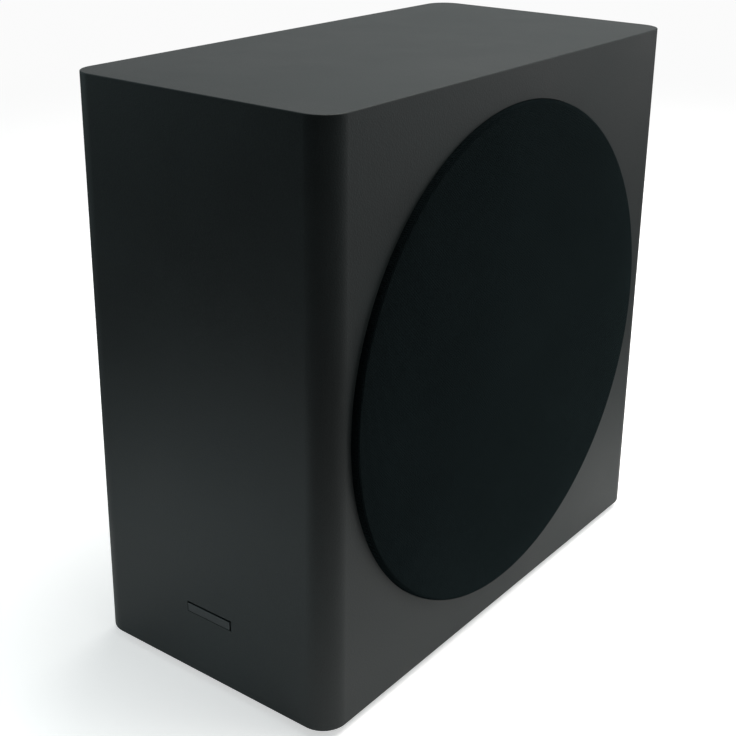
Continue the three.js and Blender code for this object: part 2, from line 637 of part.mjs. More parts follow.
// The twin lead runs from the circuit's socket to the woofer's terminals.
function makeTwinLead() {
  const socket = [middleX + 27, board.outerY - board.thickness - 10 - gap, plate.centreZ - 5];
  const terminal = [31, grilleCentreY, grilleCentreZ - 71 - 2 * gap];
  const route = new THREE.CatmullRomCurve3([
    new THREE.Vector3(...terminal),
    new THREE.Vector3(31, grilleCentreY + 2, 118),
    new THREE.Vector3(30, 24, 104),
    new THREE.Vector3(28, 70, 100),
    new THREE.Vector3(26, 120, 110),
    new THREE.Vector3(socket[0], socket[1] - 12, socket[2] - 1),
    new THREE.Vector3(...socket),
  ]);
  const section = new THREE.Shape();
  section.absellipse(0, 0, 1.4, 2.6, 0, 2 * Math.PI);
  const options = { steps: 22, extrudePath: route, curveSegments: 4, bevelEnabled: false };
  return new THREE.ExtrudeGeometry(section, options);
}

const subwoofer = new THREE.Group();
subwoofer.add(makeCabinet());
subwoofer.add(makeFeet());

for (const group of [makeGrille(), makeWoofer()]) {
  group.rotation.z = -Math.PI / 2;
  group.position.set(0, grilleCentreY, grilleCentreZ);
  subwoofer.add(group);
}

const port = makePort();
port.position.set(middleX, 0, portCentreZ);
subwoofer.add(port);

const amplifier = makeAmplifier();
amplifier.position.set(middleX, 0, plate.centreZ);
subwoofer.add(amplifier);

addPiece(subwoofer, 'twin_lead', makeTwinLead(), 'blackPlastic');

export default subwoofer;
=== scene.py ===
import math

import bpy
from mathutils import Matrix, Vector
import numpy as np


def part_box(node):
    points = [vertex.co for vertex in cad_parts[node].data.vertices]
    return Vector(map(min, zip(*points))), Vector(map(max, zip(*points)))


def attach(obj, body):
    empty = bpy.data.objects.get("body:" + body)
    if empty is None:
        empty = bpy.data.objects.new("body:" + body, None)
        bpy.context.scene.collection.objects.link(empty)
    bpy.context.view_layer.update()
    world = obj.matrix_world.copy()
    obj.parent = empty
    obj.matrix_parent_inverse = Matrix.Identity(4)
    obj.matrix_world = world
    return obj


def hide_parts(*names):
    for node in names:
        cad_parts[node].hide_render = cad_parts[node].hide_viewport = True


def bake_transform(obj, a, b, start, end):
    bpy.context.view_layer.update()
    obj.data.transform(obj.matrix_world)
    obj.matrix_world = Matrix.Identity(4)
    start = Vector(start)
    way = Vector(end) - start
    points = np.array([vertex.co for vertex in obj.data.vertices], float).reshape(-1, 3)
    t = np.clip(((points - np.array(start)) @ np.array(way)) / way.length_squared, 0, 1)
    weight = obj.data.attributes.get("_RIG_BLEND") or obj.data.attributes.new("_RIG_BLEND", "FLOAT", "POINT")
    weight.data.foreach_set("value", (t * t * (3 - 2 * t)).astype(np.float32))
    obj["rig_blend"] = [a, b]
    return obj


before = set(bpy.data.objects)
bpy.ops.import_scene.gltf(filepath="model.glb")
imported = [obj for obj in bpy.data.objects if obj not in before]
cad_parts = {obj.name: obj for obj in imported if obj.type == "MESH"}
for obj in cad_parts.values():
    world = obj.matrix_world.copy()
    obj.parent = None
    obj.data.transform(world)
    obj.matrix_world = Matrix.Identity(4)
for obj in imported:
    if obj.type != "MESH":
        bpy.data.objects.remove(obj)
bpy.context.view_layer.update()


def say(stage):
    print("subwoofer:", stage)


# Modelling helpers

axes = {"x": Vector((1, 0, 0)), "y": Vector((0, 1, 0)), "z": Vector((0, 0, 1))}
outwards = {"x": Vector((0, 0, 1)), "y": Vector((1, 0, 0)), "z": Vector((1, 0, 0))}
lying = {"x": (0, math.pi / 2, 0), "y": (math.pi / 2, 0, 0), "z": (0, 0, 0)}


def focus(*pieces):
    active = bpy.context.view_layer.objects.active
    if active and active.mode != "OBJECT":
        bpy.ops.object.mode_set(mode="OBJECT")
    bpy.ops.object.select_all(action="DESELECT")
    for piece in pieces:
        piece.select_set(True)
    bpy.context.view_layer.objects.active = pieces[0] if pieces else None


def pick(piece, kind, test):
    # leaves the piece in edit mode with the parts that pass the test selected
    focus(piece)
    bpy.ops.object.mode_set(mode="EDIT")
    bpy.ops.mesh.select_mode(type=kind)
    bpy.ops.mesh.select_all(action="DESELECT")
    bpy.ops.object.mode_set(mode="OBJECT")
    mesh = piece.data
    for part in {"VERT": mesh.vertices, "EDGE": mesh.edges, "FACE": mesh.polygons}[kind]:
        part.select = bool(test(part))
    bpy.ops.object.mode_set(mode="EDIT")


def edgeEnds(piece, edge):
    return [piece.data.vertices[index].co for index in edge.vertices]


def settle(piece):
    # place, turn and size go into the mesh, and the object sits at the origin
    focus(piece)
    bpy.ops.object.transform_apply(location=True, rotation=True, scale=True)


def named(name):
    piece = bpy.context.object
    piece.name = name
    piece.data.name = name
    return piece


def boxPiece(name, low, high):
    focus()
    low, high = Vector(low), Vector(high)
    bpy.ops.mesh.primitive_cube_add(size=1, location=(low + high) / 2, scale=high - low)
    piece = named(name)
    settle(piece)
    return piece


def roundBar(name, axis, start, stop, radius, centre, sides=64):
    focus()
    middle = Vector(centre)
    middle["xyz".index(axis)] = (start + stop) / 2
    bpy.ops.mesh.primitive_cylinder_add(
        vertices=sides, radius=radius, depth=stop - start, location=middle, rotation=lying[axis]
    )
    piece = named(name)
    settle(piece)
    return piece


def turnedPiece(name, outline, axis, centre, steps=96, closed=True):
    # an outline of (radius, place along the axis) points, spun once round the axis
    focus()
    along, away, index = axes[axis], outwards[axis], "xyz".index(axis)
    base = Vector(centre)
    base[index] = 0
    points = [base + along * place + away * radius for radius, place in outline]
    if closed:
        points.append(points[0])
    bpy.ops.mesh.primitive_plane_add(size=0.001, location=points[0])
    piece = named(name)
    bpy.ops.object.mode_set(mode="EDIT")
    bpy.ops.mesh.select_mode(type="VERT")
    bpy.ops.mesh.select_all(action="SELECT")
    bpy.ops.mesh.merge(type="CENTER")
    for here, there in zip(points, points[1:]):
        bpy.ops.mesh.extrude_region_move(TRANSFORM_OT_translate={"value": there - here})
    bpy.ops.mesh.select_all(action="SELECT")
    bpy.ops.mesh.spin(steps=steps, angle=2 * math.pi, center=base, axis=along)
    bpy.ops.mesh.select_all(action="SELECT")
    bpy.ops.mesh.remove_doubles(threshold=1e-6)
    bpy.ops.mesh.normals_make_consistent(inside=False)
    settle(piece)
    return piece


def arc(centre, radius, fromDegrees, toDegrees, steps):
    # points on a circle in an outline, 0 degrees pointing outwards and 90 along the axis
    points = []
    for step in range(steps + 1):
        turn = math.radians(fromDegrees + (toDegrees - fromDegrees) * step / steps)
        points.append((centre[0] + radius * math.cos(turn), centre[1] + radius * math.sin(turn)))
    return points


def applyModifier(piece, kind, **settings):
    focus(piece)
    modifier = piece.modifiers.new(kind.lower(), kind)
    for name, value in settings.items():
        setattr(modifier, name, value)
    bpy.ops.object.modifier_apply(modifier=modifier.name)


def combine(piece, operation, others):
    for other in others:
        applyModifier(piece, "BOOLEAN", operation=operation, solver="EXACT", object=other)
        bpy.data.objects.remove(other)
    # slivers left by the cuts are closed up
    pick(piece, "VERT", lambda vertex: True)
    bpy.ops.mesh.remove_doubles(threshold=5e-6)
    bpy.ops.mesh.dissolve_degenerate(threshold=5e-6)
    bpy.ops.object.mode_set(mode="OBJECT")


def cutWith(piece, *tools):
    combine(piece, "DIFFERENCE", tools)


def joinWith(piece, *others):
    combine(piece, "UNION", others)


def bevelEdges(piece, test, width, steps):
    pick(piece, "EDGE", lambda edge: test(*edgeEnds(piece, edge)))
    bpy.ops.mesh.bevel(offset=width, offset_type="OFFSET", segments=steps, affect="EDGES", clamp_overlap=True)
    bpy.ops.object.mode_set(mode="OBJECT")


def onPlane(axis, place):
    index = "xyz".index(axis)
    return lambda a, b: abs(a[index] - place) < 1e-6 and abs(b[index] - place) < 1e-6


def smooth(piece, degrees=35, weighted=True):
    focus(piece)
    bpy.ops.object.shade_smooth_by_angle(angle=math.radians(degrees))
    if weighted:
        applyModifier(piece, "WEIGHTED_NORMAL", keep_sharp=True, weight=50)


def copyPiece(piece, name, offset):
    focus(piece)
    bpy.ops.object.duplicate()
    copied = named(name)
    copied.location = offset
    settle(copied)
    return copied


def deliver(piece, body, material, slotName, *nodes):
    # the piece rides on its body, stands for its CAD nodes and wears its finish
    piece.data.materials.clear()
    piece.data.materials.append(material)
    if nodes:
        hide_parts(*nodes)
    if body:
        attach(piece, body)
    return piece


def middleOf(node):
    low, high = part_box(node)
    return (low + high) / 2


# Shader helpers and shared effects


def feed(tree, node, inputs):
    for name, value in inputs.items():
        if isinstance(value, bpy.types.NodeSocket):
            tree.links.new(value, node.inputs[name])
        else:
            node.inputs[name].default_value = value
    return node


def addNode(tree, kind, inputs, **settings):
    node = tree.nodes.new("ShaderNode" + kind)
    for name, value in settings.items():
        setattr(node, name, value)
    return feed(tree, node, inputs)


def maths(tree, operation, first, second=None):
    inputs = {0: first} if second is None else {0: first, 1: second}
    return addNode(tree, "Math", inputs, operation=operation).outputs[0]


def newGroup(name, inputs, outputs):
    tree = bpy.data.node_groups.new(name, "ShaderNodeTree")
    for label, kind, value in inputs:
        socket = tree.interface.new_socket(label, in_out="INPUT", socket_type="NodeSocket" + kind)
        if value is not None:
            socket.default_value = value
    for label, kind in outputs:
        tree.interface.new_socket(label, in_out="OUTPUT", socket_type="NodeSocket" + kind)
    return tree, tree.nodes.new("NodeGroupInput").outputs, tree.nodes.new("NodeGroupOutput")


def stretch(tree, value, low, high, toLow=0.0, toHigh=1.0):
    return addNode(
        tree,
        "MapRange",
        {"Value": value, "From Min": low, "From Max": high, "To Min": toLow, "To Max": toHigh},
        interpolation_type="SMOOTHSTEP",
    ).outputs["Result"]


def makeGrain():
    # pebbles of about Size with finer pores between them, for foil, moulded and powder-coated skins
    tree, given, out = newGroup(
        "skinGrain", [("Vector", "Vector", None), ("Size", "Float", 0.001)], [("Height", "Float"), ("Pores", "Float")]
    )
    scale = maths(tree, "DIVIDE", 1.0, given["Size"])
    warp = addNode(tree, "TexNoise", {"Vector": given["Vector"], "Scale": scale, "Detail": 2.0})
    cells = addNode(tree, "TexVoronoi", {"Vector": given["Vector"], "Scale": scale, "Randomness": 1.0})
    pebble = stretch(tree, cells.outputs["Distance"], 0.0, 0.75, 1.0, 0.0)
    fine = maths(tree, "MULTIPLY", scale, 2.7)
    pores = addNode(tree, "TexNoise", {"Vector": given["Vector"], "Scale": fine, "Detail": 3.0, "Roughness": 0.6})
    height = maths(tree, "ADD", maths(tree, "MULTIPLY", pebble, 0.55), maths(tree, "MULTIPLY", warp.outputs[0], 0.45))
    height = maths(tree, "ADD", height, maths(tree, "MULTIPLY", pores.outputs[0], 0.25))
    tree.links.new(height, out.inputs["Height"])
    tree.links.new(stretch(tree, pores.outputs[0], 0.35, 0.65), out.inputs["Pores"])
    return tree


def makeBlotches():
    # slow unevenness of tone over some centimetres, with a finer cloudiness inside it
    tree, given, out = newGroup(
        "slowTone", [("Vector", "Vector", None), ("Size", "Float", 0.08)], [("Mask", "Float")]
    )
    scale = maths(tree, "DIVIDE", 1.0, given["Size"])
    cloud = addNode(tree, "TexNoise", {"Vector": given["Vector"], "Scale": scale, "Detail": 5.0, "Roughness": 0.55})
    tree.links.new(stretch(tree, cloud.outputs[0], 0.3, 0.7), out.inputs["Mask"])
    return tree


def makeDust():
    # loose specks and a thin film that settle on faces that look up
    tree, given, out = newGroup(
        "settledDust", [("Vector", "Vector", None), ("Amount", "Float", 0.3)], [("Mask", "Float")]
    )
    normal = tree.nodes.new("ShaderNodeNewGeometry").outputs["Normal"]
    upward = stretch(tree, addNode(tree, "SeparateXYZ", {0: normal}).outputs["Z"], 0.4, 1.0)
    specks = addNode(tree, "TexVoronoi", {"Vector": given["Vector"], "Scale": 160.0})
    speck = stretch(tree, specks.outputs["Distance"], 0.02, 0.06, 1.0, 0.0)
    film = addNode(tree, "TexNoise", {"Vector": given["Vector"], "Scale": 14.0, "Detail": 6.0})
    veil = maths(tree, "MULTIPLY", stretch(tree, film.outputs[0], 0.35, 0.75), 0.35)
    both = maths(tree, "MULTIPLY", maths(tree, "MAXIMUM", speck, veil), upward)
    tree.links.new(maths(tree, "MULTIPLY", both, given["Amount"]), out.inputs["Mask"])
    return tree


def makeWeave():
    # plain weave of round threads that go over and under, in the Y and Z of the cloth
    tree, given, out = newGroup(
        "plainWeave",
        [("Vector", "Vector", None), ("Pitch", "Float", 0.0008)],
        [("Height", "Float"), ("Fibres", "Float")],
    )
    wander = addNode(tree, "TexNoise", {"Vector": given["Vector"], "Scale": 300.0, "Detail": 2.0})
    place = addNode(tree, "SeparateXYZ", {0: given["Vector"]})
    turns = maths(tree, "DIVIDE", math.pi, given["Pitch"])
    shift = maths(tree, "MULTIPLY", wander.outputs[0], 1.6)
    across = maths(tree, "ADD", maths(tree, "MULTIPLY", place.outputs["Y"], turns), shift)
    upwards = maths(tree, "ADD", maths(tree, "MULTIPLY", place.outputs["Z"], turns), shift)
    warp = maths(tree, "ABSOLUTE", maths(tree, "SINE", across))
    weft = maths(tree, "ABSOLUTE", maths(tree, "SINE", upwards))
    over = maths(tree, "MULTIPLY", maths(tree, "COSINE", across), maths(tree, "COSINE", upwards))
    top = stretch(tree, over, -0.25, 0.25)
    height = addNode(tree, "Mix", {0: top, 2: warp, 3: weft}, data_type="FLOAT").outputs[0]
    fine = maths(tree, "DIVIDE", 0.8, given["Pitch"])
    hairs = addNode(tree, "TexNoise", {"Vector": given["Vector"], "Scale": fine, "Detail": 3.0})
    mixed = maths(tree, "ADD", maths(tree, "MULTIPLY", height, 0.8), maths(tree, "MULTIPLY", hairs.outputs[0], 0.4))
    tree.links.new(mixed, out.inputs["Height"])
    tree.links.new(stretch(tree, hairs.outputs[0], 0.35, 0.65), out.inputs["Fibres"])
    return tree


def makeFibres():
    # short matted fibres, as in board, paper and felt
    tree, given, out = newGroup(
        "mattedFibres",
        [("Vector", "Vector", None), ("Size", "Float", 0.0015)],
        [("Height", "Float"), ("Mask", "Float")],
    )
    scale = maths(tree, "DIVIDE", 1.0, given["Size"])
    first = addNode(tree, "Mapping", {"Vector": given["Vector"], "Rotation": (0.5, 0.9, 0.3), "Scale": (1, 0.22, 1)})
    second = addNode(tree, "Mapping", {"Vector": given["Vector"], "Rotation": (0.2, -0.6, 1.1), "Scale": (0.25, 1, 1)})
    one = addNode(tree, "TexNoise", {"Vector": first.outputs[0], "Scale": scale, "Detail": 4.0, "Distortion": 0.6})
    two = addNode(tree, "TexNoise", {"Vector": second.outputs[0], "Scale": scale, "Detail": 4.0, "Distortion": 0.6})
    height = maths(tree, "MAXIMUM", one.outputs[0], two.outputs[0])
    tree.links.new(height, out.inputs["Height"])
    tree.links.new(stretch(tree, height, 0.45, 0.72), out.inputs["Mask"])
    return tree


def makeTurning():
    # fine rings left by a lathe, a press tool or a wound wire, round an axis along X through Centre
    tree, given, out = newGroup(
        "ringMarks", [("Vector", "Vector", None), ("Pitch", "Float", 0.0005)], [("Height", "Float")]
    )
    flat = addNode(tree, "VectorMath", {0: given["Vector"], 1: (0, 1, 1)}, operation="MULTIPLY")
    radius = addNode(tree, "VectorMath", {0: flat.outputs[0]}, operation="LENGTH").outputs["Value"]
    along = addNode(tree, "SeparateXYZ", {0: given["Vector"]}).outputs["X"]
    turns = maths(tree, "DIVIDE", 2 * math.pi, given["Pitch"])
    rings = maths(tree, "SINE", maths(tree, "MULTIPLY", maths(tree, "ADD", radius, along), turns))
    uneven = addNode(tree, "TexNoise", {"Vector": given["Vector"], "Scale": 90.0, "Detail": 3.0})
    depth = stretch(tree, uneven.outputs[0], 0.3, 0.7, 0.3, 0.5)
    height = maths(tree, "MULTIPLY", maths(tree, "ADD", rings, 1.0), depth)
    tree.links.new(height, out.inputs["Height"])
    return tree


effects = {
    "grain": makeGrain(),
    "blotches": makeBlotches(),
    "dust": makeDust(),
    "weave": makeWeave(),
    "fibres": makeFibres(),
    "rings": makeTurning(),
}


def useEffect(tree, effect, **inputs):
    node = tree.nodes.new("ShaderNodeGroup")
    node.node_tree = effects[effect]
    return feed(tree, node, inputs).outputs


def makeFinish(name, recipe):
    # tone: dark and light colour; relief: (effect, size, depth); rough: lowest and highest
    material = bpy.data.materials.new(name)
    material.use_nodes = True
    tree = material.node_tree
    shader = tree.nodes["Principled BSDF"]
    spot = tree.nodes.new("ShaderNodeTexCoord").outputs["Object"]
    if "centre" in recipe:
        shift = [-value for value in recipe["centre"]]
        spot = addNode(tree, "Mapping", {"Vector": spot, "Location": shift}).outputs[0]
    effect, size, depth = recipe["relief"]
    sizeName = "Pitch" if effect in ("weave", "rings") else "Size"
    relief = useEffect(tree, effect, Vector=spot, **{sizeName: size})
    slow = useEffect(tree, "blotches", Vector=spot, Size=recipe.get("blotch", 0.08))["Mask"]
    fine = relief[1] if len(relief) > 1 else relief[0]
    share = maths(tree, "ADD", maths(tree, "MULTIPLY", slow, 0.45), maths(tree, "MULTIPLY", fine, 0.55))
    dark, light = [(*tone, 1) for tone in recipe["tone"]]
    colour = addNode(tree, "Mix", {0: share, 6: dark, 7: light}, data_type="RGBA").outputs[2]
    if recipe.get("dust"):
        dust = useEffect(tree, "dust", Vector=spot, Amount=recipe["dust"])["Mask"]
        colour = addNode(tree, "Mix", {0: dust, 6: colour, 7: (0.3, 0.3, 0.29, 1)}, data_type="RGBA").outputs[2]
    tree.links.new(colour, shader.inputs["Base Color"])
    low, high = recipe["rough"]
    tree.links.new(stretch(tree, share, 0, 1, low, high), shader.inputs["Roughness"])
    bump = addNode(tree, "Bump", {"Height": relief["Height"], "Distance": depth, "Strength": 1.0})
    tree.links.new(bump.outputs[0], shader.inputs["Normal"])
    shader.inputs["Metallic"].default_value = recipe.get("metallic", 0.0)
    shader.inputs["Specular IOR Level"].default_value = recipe.get("gloss", 0.5)
    for socket, value in recipe.get("more", {}).items():
        shader.inputs[socket].default_value = value
    return material


wooferCentre = middleOf("cone")
recipes = {
    "charcoalFoil": {
        "tone": ((0.0092, 0.0124, 0.0128), (0.0262, 0.0330, 0.0336)),
        "relief": ("grain", 0.0013, 0.00006),
        "rough": (0.46, 0.6),
        "blotch": 0.12,
        "dust": 0.03,
        "gloss": 0.35,
    },
    "fibreboard": {
        "tone": ((0.19, 0.115, 0.06), (0.36, 0.24, 0.14)),
        "relief": ("fibres", 0.0016, 0.00012),
        "rough": (0.78, 0.92),
    },
    "sprayedBoard": {
        "tone": ((0.010, 0.010, 0.011), (0.022, 0.021, 0.020)),
        "relief": ("fibres", 0.0016, 0.00012),
        "rough": (0.7, 0.86),
    },
    "dampingFelt": {
        "tone": ((0.22, 0.21, 0.19), (0.62, 0.6, 0.56)),
        "relief": ("fibres", 0.004, 0.0012),
        "rough": (0.9, 1.0),
        "more": {"Sheen Weight": 0.3},
    },
    "badgeMetal": {
        "tone": ((0.03, 0.034, 0.036), (0.045, 0.05, 0.052)),
        "relief": ("grain", 0.0005, 0.00002),
        "rough": (0.38, 0.5),
        "metallic": 0.35,
    },
    "grilleCloth": {
        "tone": ((0.0024, 0.0037, 0.0041), (0.0064, 0.0094, 0.0103)),
        "relief": ("weave", 0.0011, 0.0003),
        "rough": (0.72, 0.85),
        "gloss": 0.0,
        "more": {"Sheen Weight": 0.06, "Sheen Roughness": 0.35, "Sheen Tint": (0.65, 0.95, 1.0, 1.0)},
    },
    "mouldedBlack": {
        "tone": ((0.009, 0.0095, 0.01), (0.016, 0.0165, 0.017)),
        "relief": ("grain", 0.0006, 0.00003),
        "rough": (0.42, 0.55),
        "dust": 0.05,
    },
    "blackRubber": {
        "tone": ((0.008, 0.008, 0.008), (0.017, 0.0165, 0.016)),
        "relief": ("grain", 0.0008, 0.00004),
        "rough": (0.6, 0.78),
        "gloss": 0.4,
    },
    "basketSteel": {
        "tone": ((0.010, 0.0105, 0.011), (0.02, 0.0205, 0.021)),
        "relief": ("grain", 0.0005, 0.00005),
        "rough": (0.38, 0.52),
        "metallic": 0.2,
    },
    "bareSteel": {
        "tone": ((0.34, 0.35, 0.36), (0.5, 0.51, 0.52)),
        "relief": ("rings", 0.0008, 0.00003),
        "rough": (0.28, 0.42),
        "metallic": 1.0,
        "centre": wooferCentre,
    },
    "screwSteel": {
        "tone": ((0.014, 0.014, 0.016), (0.04, 0.04, 0.044)),
        "relief": ("grain", 0.0004, 0.00002),
        "rough": (0.26, 0.42),
        "metallic": 0.85,
    },
    "ferrite": {
        "tone": ((0.018, 0.018, 0.019), (0.04, 0.039, 0.038)),
        "relief": ("grain", 0.0012, 0.00008),
        "rough": (0.6, 0.8),
    },
    "conePaper": {
        "tone": ((0.010, 0.010, 0.0105), (0.026, 0.026, 0.027)),
        "relief": ("fibres", 0.0011, 0.00012),
        "rough": (0.68, 0.86),
        "gloss": 0.35,
    },
    "spiderCloth": {
        "tone": ((0.28, 0.16, 0.04), (0.52, 0.34, 0.11)),
        "relief": ("weave", 0.0009, 0.00015),
        "rough": (0.75, 0.9),
    },
    "formerPaper": {
        "tone": ((0.3, 0.2, 0.09), (0.5, 0.35, 0.18)),
        "relief": ("fibres", 0.0012, 0.00005),
        "rough": (0.5, 0.65),
    },
    "copperWire": {
        "tone": ((0.38, 0.13, 0.05), (0.72, 0.32, 0.15)),
        "relief": ("rings", 0.0004, 0.00012),
        "rough": (0.18, 0.3),
        "metallic": 1.0,
        "centre": wooferCentre,
    },
    "terminalBrass": {
        "tone": ((0.52, 0.38, 0.14), (0.78, 0.6, 0.28)),
        "relief": ("grain", 0.0006, 0.00001),
        "rough": (0.2, 0.36),
        "metallic": 1.0,
    },
    "pinNickel": {
        "tone": ((0.5, 0.49, 0.47), (0.72, 0.71, 0.68)),
        "relief": ("grain", 0.0006, 0.00001),
        "rough": (0.15, 0.3),
        "metallic": 1.0,
    },
    "platePaint": {
        "tone": ((0.011, 0.0115, 0.012), (0.021, 0.0215, 0.022)),
        "relief": ("grain", 0.0007, 0.00006),
        "rough": (0.45, 0.6),
        "metallic": 0.1,
        "dust": 0.04,
    },
    "lensPlastic": {
        "tone": ((0.42, 0.45, 0.46), (0.62, 0.65, 0.66)),
        "relief": ("grain", 0.0008, 0.00001),
        "rough": (0.12, 0.2),
        "more": {"Transmission Weight": 0.35, "Coat Weight": 0.4},
    },
    "labelFilm": {
        "tone": ((0.022, 0.0225, 0.0235), (0.034, 0.0345, 0.0355)),
        "relief": ("grain", 0.0012, 0.00001),
        "rough": (0.3, 0.42),
    },
    "circuitBoard": {
        "tone": ((0.008, 0.05, 0.022), (0.02, 0.12, 0.055)),
        "relief": ("grain", 0.003, 0.00008),
        "rough": (0.3, 0.45),
    },
    "heatSinkAluminium": {
        "tone": ((0.42, 0.43, 0.44), (0.62, 0.63, 0.64)),
        "relief": ("grain", 0.0006, 0.00004),
        "rough": (0.32, 0.48),
        "metallic": 1.0,
    },
    "transformerIron": {
        "tone": ((0.06, 0.062, 0.07), (0.13, 0.132, 0.14)),
        "relief": ("fibres", 0.0008, 0.0001),
        "rough": (0.45, 0.65),
        "metallic": 0.5,
    },
    "leadPlastic": {
        "tone": ((0.012, 0.012, 0.012), (0.03, 0.029, 0.029)),
        "relief": ("grain", 0.0012, 0.00003),
        "rough": (0.4, 0.55),
    },
}
finishes = {name: makeFinish(name, recipe) for name, recipe in recipes.items()}
say("finishes are mixed")

cadFinishes = {
    "fibreboard": ["plain_side_board", "top_board", "bottom_board", "cross_batten_front", "cross_batten_rear"],
    # where the front board shows through the badge pocket, its black stands as painted shadow along the badge's top and
    # right
    "sprayedBoard": ["driver_baffle", "front_board", "rear_board"],
    "mouldedBlack": ["grille_frame", "port_tube", "filter_capacitor"],
    "basketSteel": ["basket"],
    "bareSteel": ["top_plate", "yoke"],
    "ferrite": ["magnet_ring"],
    "spiderCloth": ["spider"],
    "formerPaper": ["coil_former"],
    "copperWire": ["coil_winding"],
    "terminalBrass": ["terminal_strip"],
    "circuitBoard": ["amplifier_circuit", "wireless_module"],
    "heatSinkAluminium": ["heat_sink"],
    "transformerIron": ["power_transformer"],
}
for finishName, nodeNames in cadFinishes.items():
    for nodeName in nodeNames:
        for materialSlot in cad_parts[nodeName].material_slots:
            materialSlot.material = finishes[finishName]

# Cabinet skins

# the badge pocket is cut wider at the top and the right, so the black board behind shows there as painted shadow along
# those edges
badge = {"tight": 0.0001, "paintedShadowTop": 0.0015, "paintedShadowRight": 0.0016, "edge": 0.0003}
cabinet = {"cornerRadius": 0.018, "cornerSteps": 24, "foil": 0.0008, "arris": 0.0006, "arrisSteps": 3, "seam": 0.001,
           "plateHoleCorner": 0.006}
topLow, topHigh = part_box("top_sheet")
baseLow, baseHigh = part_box("base_sheet")
cabinetMiddle = (topLow + topHigh) / 2
clothLow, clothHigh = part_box("grille_fabric")
grilleCentre = (clothLow + clothHigh) / 2
grilleRadius = (clothHigh.z - clothLow.z) / 2


def roundedBlock(name, low, high, radius, steps, direction="z"):
    # a box whose edges along one direction are rounded
    piece = boxPiece(name, low, high)
    index = "xyz".index(direction)
    bevelEdges(piece, lambda a, b: abs((a - b).normalized()[index]) > 0.99, radius, steps)
    return piece


def makeCabinetWrap():
    low = Vector((topLow.x, topLow.y, baseHigh.z))
    high = Vector((topHigh.x, topHigh.y, topLow.z))
    wrap = roundedBlock("cabinetWrap", low, high, cabinet["cornerRadius"], cabinet["cornerSteps"])
    pick(wrap, "FACE", lambda face: abs(face.normal.z) > 0.9)
    bpy.ops.mesh.delete(type="FACE")
    bpy.ops.object.mode_set(mode="OBJECT")
    applyModifier(wrap, "SOLIDIFY", thickness=cabinet["foil"], offset=-1.0)
    seam = cabinet["seam"]
    portLow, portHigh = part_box("port_flare")
    portMiddle = (portLow + portHigh) / 2
    plateLow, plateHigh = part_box("amplifier_plate")
    badgeLow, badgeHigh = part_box("front_badge")
    deep = 3 * cabinet["foil"]
    plateCut = roundedBlock(
        "plateCut",
        (plateLow.x - seam, high.y - deep, plateLow.z - seam),
        (plateHigh.x + seam, high.y + deep, plateHigh.z + seam),
        cabinet["plateHoleCorner"],
        8,
        "y",
    )
    cutWith(
        wrap,
        roundBar("grilleCut", "x", high.x - deep, high.x + deep, grilleRadius + seam / 2, grilleCentre, 160),
        roundBar("portCut", "y", high.y - deep, high.y + deep, (portHigh.x - portLow.x) / 2 + seam, portMiddle, 96),
        plateCut,
        # wider at the top and the right: painted shadow lines from the black board behind
        boxPiece(
            "badgeCut",
            badgeLow - Vector((badge["tight"], deep, badge["tight"])),
            badgeHigh + Vector((badge["paintedShadowRight"], deep, badge["paintedShadowTop"])),
        ),
    )
    smooth(wrap)
    return deliver(wrap, "cabinet", finishes["charcoalFoil"], "cabinet_foil", "cabinet_wrap")


def makeEndSheet(name, node, low, high, outer):
    sheet = roundedBlock(name, low, high, cabinet["cornerRadius"], cabinet["cornerSteps"])
    bevelEdges(sheet, onPlane("z", outer), cabinet["arris"], cabinet["arrisSteps"])
    smooth(sheet)
    return deliver(sheet, "cabinet", finishes["charcoalFoil"], "cabinet_foil", node)


def makeBadge():
    low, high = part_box("front_badge")
    plate = boxPiece("frontBadge", low, high)
    bevelEdges(plate, onPlane("y", low.y), badge["edge"], 3)
    smooth(plate)
    return deliver(plate, "cabinet", finishes["badgeMetal"], "badge_metal", "front_badge")


makeCabinetWrap()
makeEndSheet("topSheet", "top_sheet", topLow, topHigh, topHigh.z)
makeEndSheet("baseSheet", "base_sheet", baseLow, baseHigh, baseLow.z)
makeBadge()
say("cabinet is wrapped")

# Feet

foot = {"groove": 0.0012, "steps": 64, "round": 0.0014}


def makeFeet():
    names = [f"foot_{end}_{side}" for end in ("front", "rear") for side in ("left", "right")]
    low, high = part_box(names[0])
    radius, top, middle = (high.x - low.x) / 2, high.z, (low + high) / 2
    groove, rounding = foot["groove"], foot["round"]
    outline = [(0, 0), (radius * 0.42, 0), (radius * 0.45, groove), (radius * 0.52, groove), (radius * 0.55, 0)]
    outline += [(radius - rounding, 0)] + arc((radius - rounding, rounding), rounding, -90, 0, 6)[1:]
    outline += [(radius - 0.0004, top - 0.0004), (radius - 0.0008, top), (0, top)]
    first = turnedPiece("footFrontLeft", outline, "z", middle, foot["steps"], closed=False)
    smooth(first)
    for node in names[1:]:
        words = node.split("_")
        copied = copyPiece(first, "foot" + words[1].title() + words[2].title(), middleOf(node) - middle)
        deliver(copied, "cabinet", finishes["blackRubber"], "black_rubber", node)
    deliver(first, "cabinet", finishes["blackRubber"], "black_rubber", names[0])


makeFeet()
say("feet are on")

# Grille cloth

cloth = {"edge": 0.0026, "thickness": 0.0005, "steps": 160, "rings": 8, "cut": 0.372}


def makeGrilleCloth():
    face, back, edge = clothHigh.x, clothLow.x, cloth["edge"]
    flat = grilleRadius - edge
    outline = [(flat * ring / cloth["rings"], face) for ring in range(cloth["rings"])]
    outline += arc((flat, face - edge), edge, 90, 0, 8)
    outline += [(grilleRadius, face - (face - back) * share) for share in (0.4, 0.7, 1.0)]
    piece = turnedPiece("grilleCloth", outline, "x", grilleCentre, cloth["steps"], closed=False)
    applyModifier(piece, "SOLIDIFY", thickness=cloth["thickness"], offset=-1.0)
    smooth(piece, 50, weighted=False)
    deliver(piece, "grille", finishes["grilleCloth"], "grille_cloth", "grille_fabric")
    return piece


makeGrilleCloth()
say("grille cloth is stretched")

# Woofer, along X through its own middle

